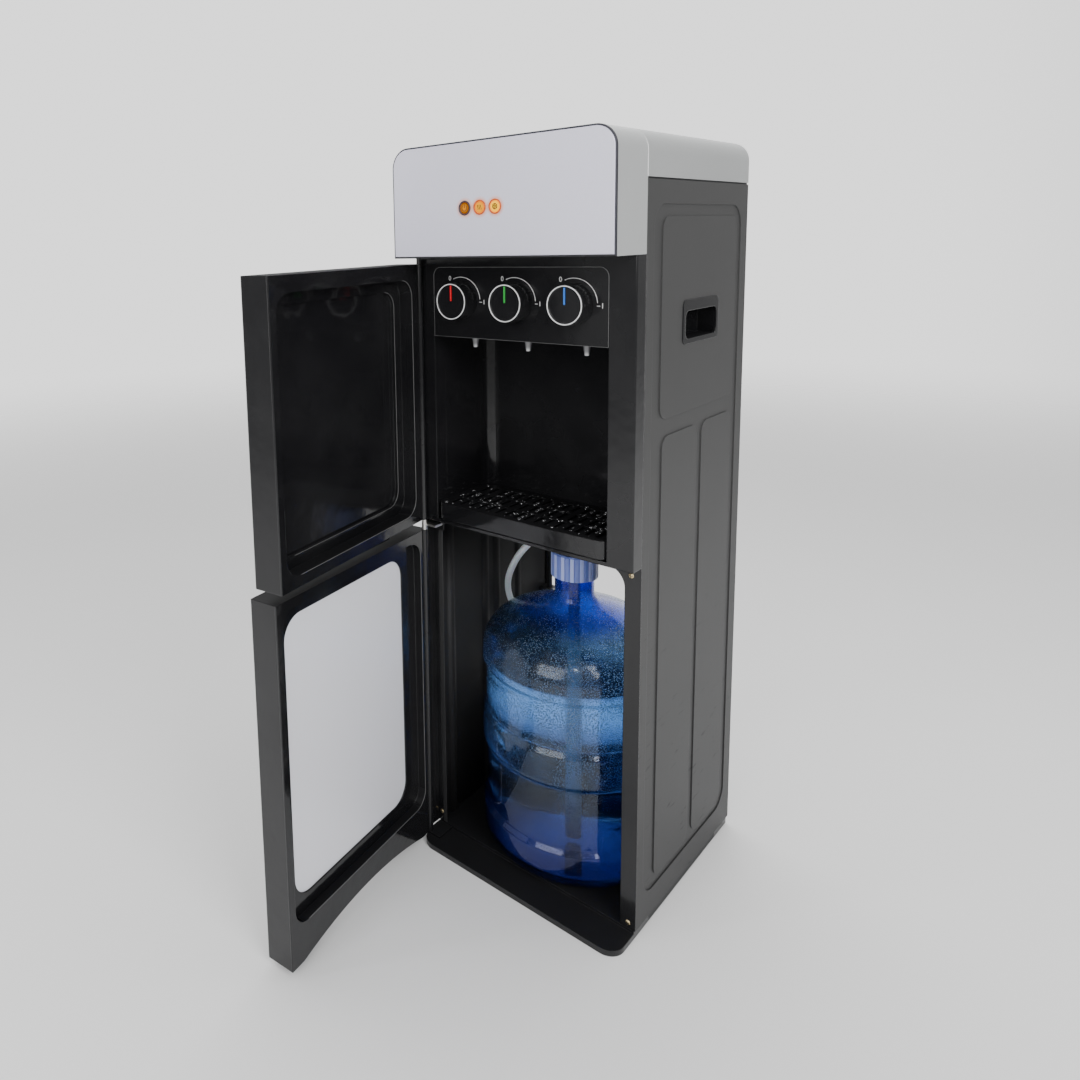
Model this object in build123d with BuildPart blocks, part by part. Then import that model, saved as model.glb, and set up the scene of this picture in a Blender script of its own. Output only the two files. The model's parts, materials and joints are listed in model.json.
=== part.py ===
from build123d import *
from math import cos, pi, radians, sin, tan
import os

os.makedirs("parts", exist_ok=True)

# Bottom load water cooler. Millimetres, +Z up, +Y to the rear, +X to the right seen from the
# front. The origin is on the floor, under the middle of the steel body.

# ---- Cabinet, driving sizes ----
width = 320.0
depth = 300.0
height = 1015.0
sheet = 1.2
flange = 14.0
fit_gap = 0.3
floor_z = 12.0

side_x = width / 2
front_y = -depth / 2
rear_y = depth / 2
inner_x = side_x - sheet
sheet_back_y = front_y + sheet
rear_sheet_y = rear_y - sheet

# ---- Top cover, hood and fascia ----
cover_height = 55.3
shadow_gap = 2.2
top_corner = 25.7
cover_wall = 2.5
cover_z = height - cover_height
panel_top_z = cover_z - shadow_gap
hood_height = 142.2
hood_depth = 69.4
hood_z = height - hood_height
hood_front_y = front_y - hood_depth
fascia_thickness = 3.0
trim_thickness = 1.5
trim_width = 2.0

# ---- Front frame and niche ----
frame_depth = 21.7
frame_front_y = front_y - frame_depth
frame_bottom_z = 498.6
frame_wall = 3.0
niche_left_margin = 26.0
niche_right_margin = 34.0
niche_left_x = -side_x + niche_left_margin
niche_right_x = side_x - niche_right_margin
niche_back_y = front_y + depth / 3
niche_floor_z = 505.7
niche_corner = 22.0
liner_wall = 2.0
rail_top_z = 504.0
window_corner = 12.0
panel_header = 13.1
control_height = 93.9
liner_lap = 2.2
control_top_z = hood_z - panel_header
control_bottom_z = control_top_z - control_height
niche_top_z = control_bottom_z + liner_lap
control_groove = 0.4
control_wall = 3.0

# ---- Bay ----
bay_left_margin = 8.0
bay_right_margin = 21.0
bay_left_x = -side_x + bay_left_margin
bay_right_x = side_x - bay_right_margin
bay_top_z = 493.0
bay_corner = 25.0
ceiling_top_z = niche_floor_z - liner_wall
ceiling_flange = 12.0

# ---- Base ----
base_inset = 2.0
base_reach = 48.0
base_front_y = front_y - base_reach
base_corner = 22.0
lip_top_z = 8.0
base_rim = 6.0
base_hollow = 4.0
rail_thickness = 1.5
base_rail_front_inset = 41.0
base_rail_rear_inset = 46.0
base_rail_front_y = front_y + base_rail_front_inset
base_rail_rear_y = rear_y - base_rail_rear_inset
base_rail_bottom_z = 2.0

# ---- Taps, knobs and nozzles ----
tap_names = ["hot", "room", "cold"]
tap_left_margin = 46.1
tap_right_margin = 45.6
tap_drop = 44.5
tap_left_x = niche_left_x + tap_left_margin
tap_right_x = niche_right_x - tap_right_margin
tap_x = [tap_left_x, (tap_left_x + tap_right_x) / 2, tap_right_x]
tap_z = control_top_z - tap_drop
tap_inset = 10.0
tap_y = front_y + tap_inset
spindle_radius = 3.0
turning_gap = 0.08
knob_radius = 25.6
knob_front_radius = 24.4
knob_height = 22.0
knob_ribs = 36
nozzle_drop = 18.4
nozzle_tip_z = niche_top_z - nozzle_drop

# ---- Doors ----
door_inset = 1.0
door_width = width - 2 * door_inset
door_thickness = 42.0
door_gap = 5.3
door_inner_y = frame_front_y - door_gap
door_edge = 4.0
door_wall = 2.5
upper_door_angle = 81.0
upper_door_bottom_z = 500.0
door_head_gap = 8.8
upper_door_top_z = hood_z - door_head_gap
lower_door_angle = 83.0
lower_door_bottom_z = 11.0
lower_door_top_z = 485.0
barrel_radius = 4.0
pin_radius = 2.0
pin_depth = 14.0
bracket = 3.0
hinge_x = -(door_width / 2) + door_edge
hinge_y = door_inner_y

# ---- Bottle ----
bottle_side_room = 13.9
bottle_right_gap = 4.4
bottle_setback = 117.0
bottle_radius = (bay_right_x - bay_left_x) / 2 - bottle_side_room
bottle_x = bay_right_x - bottle_radius - bottle_right_gap
bottle_y = front_y + bottle_setback
bottle_wall = 1.6
bottle_base_z = floor_z + fit_gap
neck_radius = 27.6
neck_top_z = 432.0
cap_radius = 33.0
cap_bottom_z = 414.0
cap_top_z = 450.0

# ---- Rear of the cabinet ----
shelf_share = 0.23424
shelf_z = ceiling_top_z + shelf_share * (panel_top_z - ceiling_top_z)
hot_tank_share = 0.16
hot_tank_room = 75.2
hot_tank_back = 32.0
hot_tank_radius = hot_tank_share * depth
hot_tank_y = niche_back_y + hot_tank_radius + hot_tank_back
hot_tank_height = tap_z - shelf_z - hot_tank_room
cold_tank_share = 0.2
cold_tank_room = 35.2
cold_tank_back = 8.0
cold_tank_side = 94.0
cold_tank_radius = cold_tank_share * depth
cold_tank_x = side_x - cold_tank_side
cold_tank_y = niche_back_y + cold_tank_radius + cold_tank_back
cold_tank_height = tap_z - shelf_z - cold_tank_room
fan_rise = 80.0
fan_z = shelf_z + fan_rise
fan_size = 92.0
fan_radius = 43.0


def span(x_low, x_high, y_low, y_high):
    """Add a rectangle between two corners to the open sketch."""
    with Locations(((x_low + x_high) / 2, (y_low + y_high) / 2)):
        Rectangle(x_high - x_low, y_high - y_low)


def cut_span(x_low, x_high, y_low, y_high):
    """Take a rectangle between two corners out of the open sketch."""
    with Locations(((x_low + x_high) / 2, (y_low + y_high) / 2)):
        Rectangle(x_high - x_low, y_high - y_low, mode=Mode.SUBTRACT)


def round_span(x_low, x_high, y_low, y_high, radius):
    """Add a rectangle with four round corners."""
    with Locations(((x_low + x_high) / 2, (y_low + y_high) / 2)):
        RectangleRounded(x_high - x_low, y_high - y_low, radius)


def facing_front(y):
    """A plane at depth y that looks to the front: its x is X and its y is Z."""
    return Plane.XZ.offset(-y)


# ---- Base plate: a black tray with a low front lip, hollow below ----
def base_outline(inset):
    x = side_x - base_inset - inset
    with BuildSketch(Plane.XY, mode=Mode.PRIVATE) as outline:
        span(-x, x, base_front_y + inset, rear_y - sheet - inset)
        fillet(outline.vertices().group_by(Axis.Y)[0], base_corner - inset)
    return outline.sketch


with BuildPart() as base_plate:
    with BuildSketch(Plane.XY):
        add(base_outline(0))
    extrude(amount=floor_z)
    with BuildSketch(Plane.XY.offset(lip_top_z)):
        span(-side_x, side_x, base_front_y - base_rim, front_y)
    extrude(amount=floor_z, mode=Mode.SUBTRACT)
    with BuildSketch(Plane.XY):
        add(base_outline(base_rim))
    extrude(amount=base_hollow, mode=Mode.SUBTRACT)
    with BuildSketch(Plane.XY.offset(base_rail_bottom_z)):
        for side in (-1, 1):
            edge_x = side * (side_x - base_inset)
            inner = edge_x - side * rail_thickness
            span(min(edge_x, inner), max(edge_x, inner), base_rail_front_y, base_rail_rear_y)
    extrude(amount=floor_z, mode=Mode.SUBTRACT)
base_plate.part.label = "base_plate"
export_step(base_plate.part, "parts/base_plate.step")

for side, name in ((-1, "left"), (1, "right")):
    edge_x = side * (side_x - base_inset)
    inner = edge_x - side * rail_thickness
    with BuildPart() as base_rail:
        with BuildSketch(Plane.XY.offset(base_rail_bottom_z)):
            span(min(edge_x, inner), max(edge_x, inner), base_rail_front_y, base_rail_rear_y)
        extrude(amount=floor_z - base_rail_bottom_z)
    base_rail.part.label = f"base_rail_{name}"
    export_step(base_rail.part, f"parts/base_rail_{name}.step")

# ---- Side panels: pressed sheet with raised fields, folded at the front and rear edges ----
press = 1.5
relief_front = 19.0
relief_rear = 22.0
relief_foot = 35.0
relief_head = 27.5
relief_low = (front_y + relief_front, floor_z + relief_foot)
relief_high = (rear_y - relief_rear, panel_top_z - relief_head)
relief_corner = 28.0
field_corner = 16.0
upper_field_front = 22.4
upper_field_rear = 15.4
upper_field_head = 15.0
lower_field_front = 30.0
lower_field_rear = 17.0
lower_field_foot = 11.0
field_split_low = 0.0
field_split_high = 15.0
upper_field_drop = 285.5
lower_field_drop = 307.5
lower_field_low_z = relief_low[1] + lower_field_foot
lower_field_high_z = panel_top_z - lower_field_drop
fields = [
    (
        relief_low[0] + upper_field_front, relief_high[0] - upper_field_rear,
        panel_top_z - upper_field_drop, relief_high[1] - upper_field_head,
    ),
    (relief_low[0] + lower_field_front, field_split_low, lower_field_low_z, lower_field_high_z),
    (field_split_high, relief_high[0] - lower_field_rear, lower_field_low_z, lower_field_high_z),
]
handle_y = 3.0
handle_drop = 172.3
handle_z = panel_top_z - handle_drop
handle_rim_width = 108.0
handle_rim_height = 55.5
handle_proud = 1.2
handle_edge = 0.7
cup_width = 98.0
cup_height = 46.0
cup_depth = 26.0
cup_wall = 2.0
cup_corner = 8.0
cup_lip = 3.0
cup_lip_drop = 9.0

with BuildPart() as side_panel_right:
    with BuildSketch(Plane.XY.offset(floor_z)):
        span(inner_x, side_x, sheet_back_y, rear_y)
        span(side_x - flange, side_x, sheet_back_y, sheet_back_y + sheet)
        span(side_x - flange, side_x, rear_sheet_y, rear_y)
    extrude(amount=panel_top_z - floor_z)
    with BuildSketch(Plane.YZ.offset(inner_x)):
        round_span(
            relief_low[0] - sheet, relief_high[0] + sheet,
            relief_low[1] - sheet, relief_high[1] + sheet, relief_corner + sheet,
        )
    extrude(amount=-press)
    with BuildSketch(Plane.YZ.offset(side_x)):
        round_span(relief_low[0], relief_high[0], relief_low[1], relief_high[1], relief_corner)
    extrude(amount=-press, mode=Mode.SUBTRACT)
    with BuildSketch(Plane.YZ.offset(side_x)):
        for y_low, y_high, z_low, z_high in fields:
            round_span(y_low, y_high, z_low, z_high, field_corner)
    extrude(amount=-press)
    with BuildSketch(Plane.YZ.offset(inner_x)):
        for y_low, y_high, z_low, z_high in fields:
            round_span(y_low + sheet, y_high - sheet, z_low + sheet, z_high - sheet, field_corner - sheet)
    extrude(amount=-press - sheet, mode=Mode.SUBTRACT)
    with BuildSketch(Plane.YZ.offset(side_x)):
        with Locations((handle_y, handle_z)):
            Rectangle(cup_width + 2 * fit_gap, cup_height + 2 * fit_gap)
    extrude(amount=-flange, mode=Mode.SUBTRACT)
side_panel_right.part.label = "side_panel_right"
export_step(side_panel_right.part, "parts/side_panel_right.step")

with BuildPart() as side_panel_left:
    add(side_panel_right.part.mirror(Plane.YZ))
side_panel_left.part.label = "side_panel_left"
export_step(side_panel_left.part, "parts/side_panel_left.step")

# ---- Handle cups: a rim plate outside, a scoop inside and a lip to hook the fingers behind ----
with BuildPart() as handle_cup_right:
    with BuildSketch(Plane.YZ.offset(side_x)):
        with Locations((handle_y, handle_z)):
            RectangleRounded(handle_rim_width, handle_rim_height, cup_corner)
    extrude(amount=handle_proud)
    with BuildSketch(Plane.YZ.offset(side_x)):
        with Locations((handle_y, handle_z)):
            Rectangle(cup_width, cup_height)
    extrude(amount=-cup_depth)
    with BuildSketch(Plane.YZ.offset(side_x + handle_proud)):
        round_span(
            handle_y - cup_width / 2 + cup_wall, handle_y + cup_width / 2 - cup_wall,
            handle_z - cup_height / 2 + cup_wall, handle_z + cup_height / 2 - cup_lip_drop, cup_corner,
        )
    extrude(amount=-cup_lip - handle_proud, mode=Mode.SUBTRACT)
    with BuildSketch(Plane.YZ.offset(side_x - cup_lip)):
        with Locations((handle_y, handle_z)):
            Rectangle(cup_width - 2 * cup_wall, cup_height - 2 * cup_wall)
    extrude(amount=-(cup_depth - cup_lip - cup_wall), mode=Mode.SUBTRACT)
    outer_edges = handle_cup_right.faces().sort_by(Axis.X)[-1].outer_wire().edges()
    fillet(outer_edges, handle_edge)
handle_cup_right.part.label = "handle_cup_right"
export_step(handle_cup_right.part, "parts/handle_cup_right.step")

with BuildPart() as handle_cup_left:
    add(handle_cup_right.part.mirror(Plane.YZ))
handle_cup_left.part.label = "handle_cup_left"
export_step(handle_cup_left.part, "parts/handle_cup_left.step")

# ---- Front sheet: the steel frame behind the doors, open at the bay, the niche and the hood ----
wire_window_side = 50.0
wire_window_width = width - 2 * wire_window_side
wire_window_margin = 14.0
with BuildPart() as front_sheet:
    with BuildSketch(facing_front(sheet_back_y)):
        span(-side_x, side_x, floor_z, panel_top_z)
        with BuildSketch(mode=Mode.SUBTRACT) as bay_hole:
            span(bay_left_x, bay_right_x, floor_z, bay_top_z)
            fillet(bay_hole.vertices().group_by(Axis.Y)[-1], bay_corner)
        cut_span(
            niche_left_x - liner_wall - fit_gap, niche_right_x + liner_wall + fit_gap,
            ceiling_top_z - sheet, control_top_z + frame_wall,
        )
        cut_span(
            -wire_window_width / 2, wire_window_width / 2,
            hood_z + wire_window_margin, panel_top_z - wire_window_margin,
        )
    extrude(amount=sheet)
front_sheet.part.label = "front_sheet"
export_step(front_sheet.part, "parts/front_sheet.step")

# ---- Rear rail: an angle across the foot of the open bay ----
rear_rail_height = 33.0
rear_rail_fold = 12.0
panel_side_x = inner_x - press - fit_gap
with BuildPart() as rear_rail:
    with BuildSketch(Plane.YZ.offset(-panel_side_x)):
        span(rear_sheet_y - sheet, rear_sheet_y, floor_z, floor_z + rear_rail_height)
        span(
            rear_sheet_y - rear_rail_fold, rear_sheet_y,
            floor_z + rear_rail_height - sheet, floor_z + rear_rail_height,
        )
    extrude(amount=2 * panel_side_x)
rear_rail.part.label = "rear_rail"
export_step(rear_rail.part, "parts/rear_rail.step")

# ---- Rear panel: fan grille of radial slots, louvre rows and the holes for rear fittings ----
rear_panel_lap = 8.0
rear_panel_bottom_z = ceiling_top_z - rear_panel_lap
switch_margin = 56.0
switch_drop = 77.5
switch_x = -side_x + switch_margin
switch_z = panel_top_z - switch_drop
switch_width = 58.0
switch_height = 34.0
switch_lap = 3.0
gland_margin = 40.0
gland_rise = 36.3
gland_x = -side_x + gland_margin
gland_z = ceiling_top_z + gland_rise
gland_radius = 8.0
drain_rise = 22.0
drain_z = shelf_z + drain_rise
drain_radius = 7.0
drain_hole_gap = 2.0
grille_slots = 20
grille_slot_width = 5.0
grille_hub = 14.0
grille_rib = 5.0
louvre_rows = 9
louvre_pitch = 11.0
louvre_width = 90.0
louvre_height = 4.0
louvre_z = switch_z
lower_louvre_rise = 56.3
lower_louvre_z = ceiling_top_z + lower_louvre_rise
grille_ring = (fan_radius - grille_hub - grille_rib) / 2
with BuildPart() as rear_panel:
    with BuildSketch(facing_front(rear_sheet_y)):
        span(-panel_side_x, panel_side_x, rear_panel_bottom_z, panel_top_z)
        with Locations((cold_tank_x, fan_z)):
            for ring in (0, 1):
                middle = grille_hub + grille_ring / 2 + ring * (grille_ring + grille_rib)
                with PolarLocations(middle, grille_slots, start_angle=ring * 180 / grille_slots):
                    Rectangle(grille_ring, grille_slot_width * (ring + 1) / 2, mode=Mode.SUBTRACT)
        for row_z in (louvre_z, lower_louvre_z):
            with Locations((cold_tank_x, row_z)):
                with GridLocations(0, louvre_pitch, 1, louvre_rows // 2):
                    SlotOverall(louvre_width, louvre_height, mode=Mode.SUBTRACT)
        with Locations((switch_x, switch_z)):
            Rectangle(switch_width - 2 * switch_lap, switch_height - 2 * switch_lap, mode=Mode.SUBTRACT)
        with Locations((gland_x, gland_z)):
            Circle(gland_radius, mode=Mode.SUBTRACT)
        with Locations((tap_x[0], drain_z)):
            Circle(drain_radius + drain_hole_gap, mode=Mode.SUBTRACT)
    extrude(amount=sheet)
rear_panel.part.label = "rear_panel"
export_step(rear_panel.part, "parts/rear_panel.step")

# ---- Bay ceiling and tank shelf: sheets folded down at both sides ----
port_margin = 32.0
line_margin = 18.0
port_inset = 14.0
port_x = -side_x + port_margin
port_y = rear_y - port_inset
port_z = 290.0
line_radius = 4.0
line_gap = 1.0
line_x = -side_x + line_margin


def folded_shelf(top_z, y_low, y_high):
    """The profile of a shelf with two folded edges, extruded between two depths."""
    with BuildSketch(facing_front(y_high)) as profile:
        span(-panel_side_x, panel_side_x, top_z - sheet, top_z)
        span(-panel_side_x, -panel_side_x + sheet, top_z - ceiling_flange, top_z)
        span(panel_side_x - sheet, panel_side_x, top_z - ceiling_flange, top_z)
    extrude(profile.sketch, amount=y_high - y_low)


with BuildPart() as bay_ceiling:
    folded_shelf(ceiling_top_z, sheet_back_y + sheet + fit_gap, rear_sheet_y - sheet - fit_gap)
    with BuildSketch(Plane.XY.offset(ceiling_top_z)):
        with Locations((line_x, port_y)):
            Circle(line_radius + line_gap)
    extrude(amount=-2 * sheet, mode=Mode.SUBTRACT)
bay_ceiling.part.label = "bay_ceiling"
export_step(bay_ceiling.part, "parts/bay_ceiling.step")

room_line_inset = 50.0
room_line_y = rear_y - room_line_inset
with BuildPart() as tank_shelf:
    folded_shelf(shelf_z, niche_back_y + liner_wall + fit_gap, rear_sheet_y - sheet - fit_gap)
    with BuildSketch(Plane.XY.offset(shelf_z)):
        with Locations((tap_x[1], room_line_y)):
            Circle(line_radius + 2 * line_gap)
    extrude(amount=-2 * sheet, mode=Mode.SUBTRACT)
tank_shelf.part.label = "tank_shelf"
export_step(tank_shelf.part, "parts/tank_shelf.step")

# ---- Front frame: glossy moulding round the niche and the control panel, hollow behind ----
frame_edge = 1.5
with BuildPart() as front_frame:
    with BuildSketch(facing_front(front_y)):
        span(-side_x, side_x, frame_bottom_z, hood_z)
        with BuildSketch(mode=Mode.SUBTRACT) as frame_hole:
            span(niche_left_x, niche_right_x, rail_top_z, control_top_z)
            fillet(frame_hole.vertices().group_by(Axis.Y)[-1], window_corner)
    extrude(amount=frame_depth)
    fillet(front_frame.faces().sort_by(Axis.Y)[0].outer_wire().edges(), frame_edge)
    with BuildSketch(facing_front(front_y)):
        for low_x, high_x in ((-side_x, niche_left_x), (niche_right_x, side_x)):
            span(
                low_x + frame_wall, high_x - frame_wall,
                frame_bottom_z + frame_wall, hood_z - frame_wall,
            )
    extrude(amount=frame_depth - frame_wall, mode=Mode.SUBTRACT)
front_frame.part.label = "front_frame"
export_step(front_frame.part, "parts/front_frame.step")

# ---- Niche liner: an open box with round rear corners and three nozzle holes in its ceiling ----
nozzle_flange = 9.0
nozzle_neck = 6.0
nozzle_gap = 0.5
with BuildPart() as niche_liner:
    with BuildSketch(Plane.XY.offset(niche_floor_z - liner_wall)) as liner_outside:
        span(niche_left_x - liner_wall, niche_right_x + liner_wall, front_y, niche_back_y + liner_wall)
        fillet(liner_outside.vertices().group_by(Axis.Y)[-1], niche_corner + liner_wall)
    extrude(amount=niche_top_z - niche_floor_z + 2 * liner_wall)
    with BuildSketch(Plane.XY.offset(niche_floor_z)) as liner_inside:
        span(niche_left_x, niche_right_x, front_y, niche_back_y)
        fillet(liner_inside.vertices().group_by(Axis.Y)[-1], niche_corner)
    extrude(amount=niche_top_z - niche_floor_z, mode=Mode.SUBTRACT)
    with BuildSketch(Plane.XY.offset(niche_top_z)):
        with Locations(*[(x, tap_y) for x in tap_x]):
            Circle(nozzle_neck + nozzle_gap)
    extrude(amount=2 * liner_wall, mode=Mode.SUBTRACT)
niche_liner.part.label = "niche_liner"
export_step(niche_liner.part, "parts/niche_liner.step")

# ---- Control panel: a flush skirted plate with three spindle holes ----
spindle_gap = 1.0
spindle_hole = spindle_radius + spindle_gap
with BuildPart() as control_panel:
    with BuildSketch(facing_front(front_y)) as panel_outline:
        span(
            niche_left_x + control_groove, niche_right_x - control_groove,
            control_bottom_z, control_top_z - control_groove,
        )
        fillet(panel_outline.vertices().group_by(Axis.Y)[-1], window_corner - control_groove)
    extrude(amount=frame_depth)
    with BuildSketch(facing_front(front_y)):
        span(
            niche_left_x + control_groove + control_wall, niche_right_x - control_groove - control_wall,
            control_bottom_z + control_wall, control_top_z - window_corner,
        )
    extrude(amount=frame_depth - control_wall, mode=Mode.SUBTRACT)
    with BuildSketch(facing_front(front_y)):
        with Locations(*[(x, tap_z) for x in tap_x]):
            Circle(spindle_hole)
    extrude(amount=frame_depth, mode=Mode.SUBTRACT)
control_panel.part.label = "control_panel"
export_step(control_panel.part, "parts/control_panel.step")

# ---- Top rim: a black collar that sits in the side panels and carries the top cover ----
rim_wall = 3.0
rim_low = 16.0
rim_high = 8.0
rim_inset = 1.4
with BuildPart() as top_rim:
    rim_x = panel_side_x
    rim_front_y = sheet_back_y + sheet + fit_gap
    rim_rear_y = rear_sheet_y - sheet - fit_gap
    with BuildSketch(Plane.XY.offset(panel_top_z - rim_low)):
        span(-rim_x, rim_x, rim_front_y, rim_rear_y)
    extrude(amount=rim_low + shadow_gap + rim_high)
    with BuildSketch(Plane.XY.offset(panel_top_z)):
        span(-side_x + rim_inset, side_x - rim_inset, front_y + rim_inset, rear_y - rim_inset)
    extrude(amount=shadow_gap)
    with BuildSketch(Plane.XY.offset(panel_top_z - rim_low)):
        span(-rim_x + rim_wall, rim_x - rim_wall, rim_front_y + rim_wall, rim_rear_y - rim_wall)
    extrude(amount=rim_low + shadow_gap + rim_high, mode=Mode.SUBTRACT)
top_rim.part.label = "top_rim"
export_step(top_rim.part, "parts/top_rim.step")


# ---- Top cover and front hood: thin moulded shells with the same round shoulders ----
with BuildPart() as top_cover:
    with BuildSketch(facing_front(rear_y)):
        span(-side_x, side_x, cover_z, height)
    extrude(amount=depth)
    long_edges = top_cover.edges().filter_by(Axis.Y).group_by(Axis.Z)[-1]
    fillet(long_edges, top_corner)
    with BuildSketch(facing_front(rear_y - cover_wall)) as cover_inside:
        span(-side_x + cover_wall, side_x - cover_wall, cover_z, height - cover_wall)
        fillet(cover_inside.vertices().group_by(Axis.Y)[-1], top_corner - cover_wall)
    extrude(amount=depth - 2 * cover_wall, mode=Mode.SUBTRACT)
top_cover.part.label = "top_cover"
export_step(top_cover.part, "parts/top_cover.step")

lamp_x = [-41.4, -18.8, 3.8]
lamp_drop = 81.1
lamp_z = height - lamp_drop
lamp_radius = 7.0
lamp_flange = 8.5
lamp_names = ["power", "hot", "cold"]
with BuildPart() as front_hood:
    with BuildSketch(facing_front(front_y)):
        span(-side_x, side_x, hood_z, height)
    extrude(amount=hood_depth)
    fillet(front_hood.edges().filter_by(Axis.Y).group_by(Axis.Z)[-1], top_corner)
    with BuildSketch(facing_front(front_y)) as hood_inside:
        span(-side_x + cover_wall, side_x - cover_wall, hood_z + cover_wall, height - cover_wall)
        fillet(hood_inside.vertices().group_by(Axis.Y)[-1], top_corner - cover_wall)
    extrude(amount=hood_depth - cover_wall, mode=Mode.SUBTRACT)
    with BuildSketch(facing_front(hood_front_y + cover_wall)):
        with Locations(*[(x, lamp_z) for x in lamp_x]):
            Circle(lamp_flange + fit_gap)
    extrude(amount=cover_wall, mode=Mode.SUBTRACT)
front_hood.part.label = "front_hood"
export_step(front_hood.part, "parts/front_hood.step")

with BuildPart() as fascia_trim:
    with BuildSketch(facing_front(hood_front_y)) as trim_outline:
        span(-side_x, side_x, hood_z, height)
        fillet(trim_outline.vertices().group_by(Axis.Y)[-1], top_corner)
        with BuildSketch(mode=Mode.SUBTRACT) as trim_hole:
            span(-side_x + trim_width, side_x - trim_width, hood_z + trim_width, height - trim_width)
            fillet(trim_hole.vertices().group_by(Axis.Y)[-1], top_corner - trim_width)
    extrude(amount=trim_thickness)
fascia_trim.part.label = "fascia_trim"
export_step(fascia_trim.part, "parts/fascia_trim.step")

fascia_gap = 0.2
fascia_edge = 0.6
fascia_inset = trim_width + fascia_gap
with BuildPart() as fascia_panel:
    with BuildSketch(facing_front(hood_front_y)) as fascia_outline:
        span(-side_x + fascia_inset, side_x - fascia_inset, hood_z + fascia_inset, height - fascia_inset)
        fillet(fascia_outline.vertices().group_by(Axis.Y)[-1], top_corner - fascia_inset)
        with Locations(*[(x, lamp_z) for x in lamp_x]):
            Circle(lamp_radius + fascia_gap, mode=Mode.SUBTRACT)
    extrude(amount=fascia_thickness)
    chamfer(fascia_panel.faces().sort_by(Axis.Y)[0].outer_wire().edges(), fascia_edge)
fascia_panel.part.label = "fascia_panel"
export_step(fascia_panel.part, "parts/fascia_panel.step")

# ---- Status lamps: flanged lenses with a soft front edge ----
lamp_proud = 0.6
flange_thickness = 2.0
for x, name in zip(lamp_x, lamp_names):
    with BuildPart() as lamp:
        with BuildSketch(facing_front(hood_front_y + flange_thickness)):
            with Locations((x, lamp_z)):
                Circle(lamp_flange)
        extrude(amount=flange_thickness)
        with BuildSketch(facing_front(hood_front_y)):
            with Locations((x, lamp_z)):
                Circle(lamp_radius)
        extrude(amount=fascia_thickness + lamp_proud)
        fillet(lamp.faces().sort_by(Axis.Y)[0].edges(), lamp_proud)
    lamp.part.label = f"lamp_{name}"
    export_step(lamp.part, f"parts/lamp_{name}.step")

# ---- Tap valves and nozzles ----
valve_radius = 14.0
valve_front_y = frame_front_y + control_wall
valve_inset = 26.0
valve_back_y = front_y + valve_inset
outlet_radius = 7.0
spigot_length = 8.0
nozzle_top_z = niche_top_z + liner_wall
nozzle_flange_thickness = 3.5
nozzle_tip_radius = 3.3
nozzle_bore = 2.0
for x, name in zip(tap_x, tap_names):
    with BuildPart() as tap:
        with BuildSketch(facing_front(valve_back_y)):
            with Locations((x, tap_z)):
                Circle(valve_radius)
        extrude(amount=valve_back_y - valve_front_y)
        with BuildSketch(facing_front(valve_back_y + spigot_length)):
            with Locations((x, tap_z)):
                Circle(line_radius)
        extrude(amount=spigot_length)
        with BuildSketch(Plane.XY.offset(nozzle_top_z + nozzle_flange_thickness)):
            with Locations((x, tap_y)):
                Circle(outlet_radius)
        extrude(amount=tap_z - nozzle_top_z - nozzle_flange_thickness)
        with BuildSketch(facing_front(valve_front_y)):
            with Locations((x, tap_z)):
                Circle(spindle_radius + turning_gap)
        extrude(amount=-(frame_depth - control_wall), mode=Mode.SUBTRACT)
    tap.part.label = f"tap_{name}"
    export_step(tap.part, f"parts/tap_{name}.step")
    with BuildPart() as nozzle:
        with BuildSketch(Plane.XY.offset(nozzle_top_z)):
            with Locations((x, tap_y)):
                Circle(nozzle_flange)
        extrude(amount=nozzle_flange_thickness)
        with BuildSketch(Plane.XY.offset(nozzle_top_z)):
            with Locations((x, tap_y)):
                Circle(nozzle_neck)
        with BuildSketch(Plane.XY.offset(nozzle_tip_z)):
            with Locations((x, tap_y)):
                Circle(nozzle_tip_radius)
        loft()
        with BuildSketch(Plane.XY.offset(nozzle_tip_z)):
            with Locations((x, tap_y)):
                Circle(nozzle_bore)
        extrude(amount=nozzle_top_z - nozzle_tip_z + nozzle_flange_thickness, mode=Mode.SUBTRACT)
    nozzle.part.label = f"nozzle_{name}"
    export_step(nozzle.part, f"parts/nozzle_{name}.step")

# ---- Knobs: ribbed, slightly tapered, dished in front, with a spindle into the valve ----
knob_dish_radius = 21.4
knob_dish_depth = 1.2
knob_groove = 1.0
spindle_length = 14.0
rib_share = 0.9
knob_back_y = frame_front_y - fit_gap
for x, name in zip(tap_x, tap_names):
    with BuildPart() as knob:
        with BuildSketch(facing_front(knob_back_y)):
            with Locations((x, tap_z)):
                Circle(knob_radius)
        with BuildSketch(facing_front(knob_back_y - knob_height)):
            with Locations((x, tap_z)):
                Circle(knob_front_radius)
        loft()
        with BuildSketch(facing_front(knob_back_y)):
            with Locations((x, tap_z)):
                with PolarLocations(knob_radius, knob_ribs):
                    RegularPolygon(knob_groove, 4)
        extrude(amount=knob_height * rib_share, mode=Mode.SUBTRACT)
        with BuildSketch(facing_front(knob_back_y - knob_height)):
            with Locations((x, tap_z)):
                Circle(knob_dish_radius)
        extrude(amount=-knob_dish_depth, mode=Mode.SUBTRACT)
        with BuildSketch(facing_front(knob_back_y)):
            with Locations((x, tap_z)):
                Circle(spindle_radius)
        extrude(amount=-spindle_length)
    knob.part.label = f"knob_{name}"
    export_step(knob.part, f"parts/knob_{name}.step")

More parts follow.
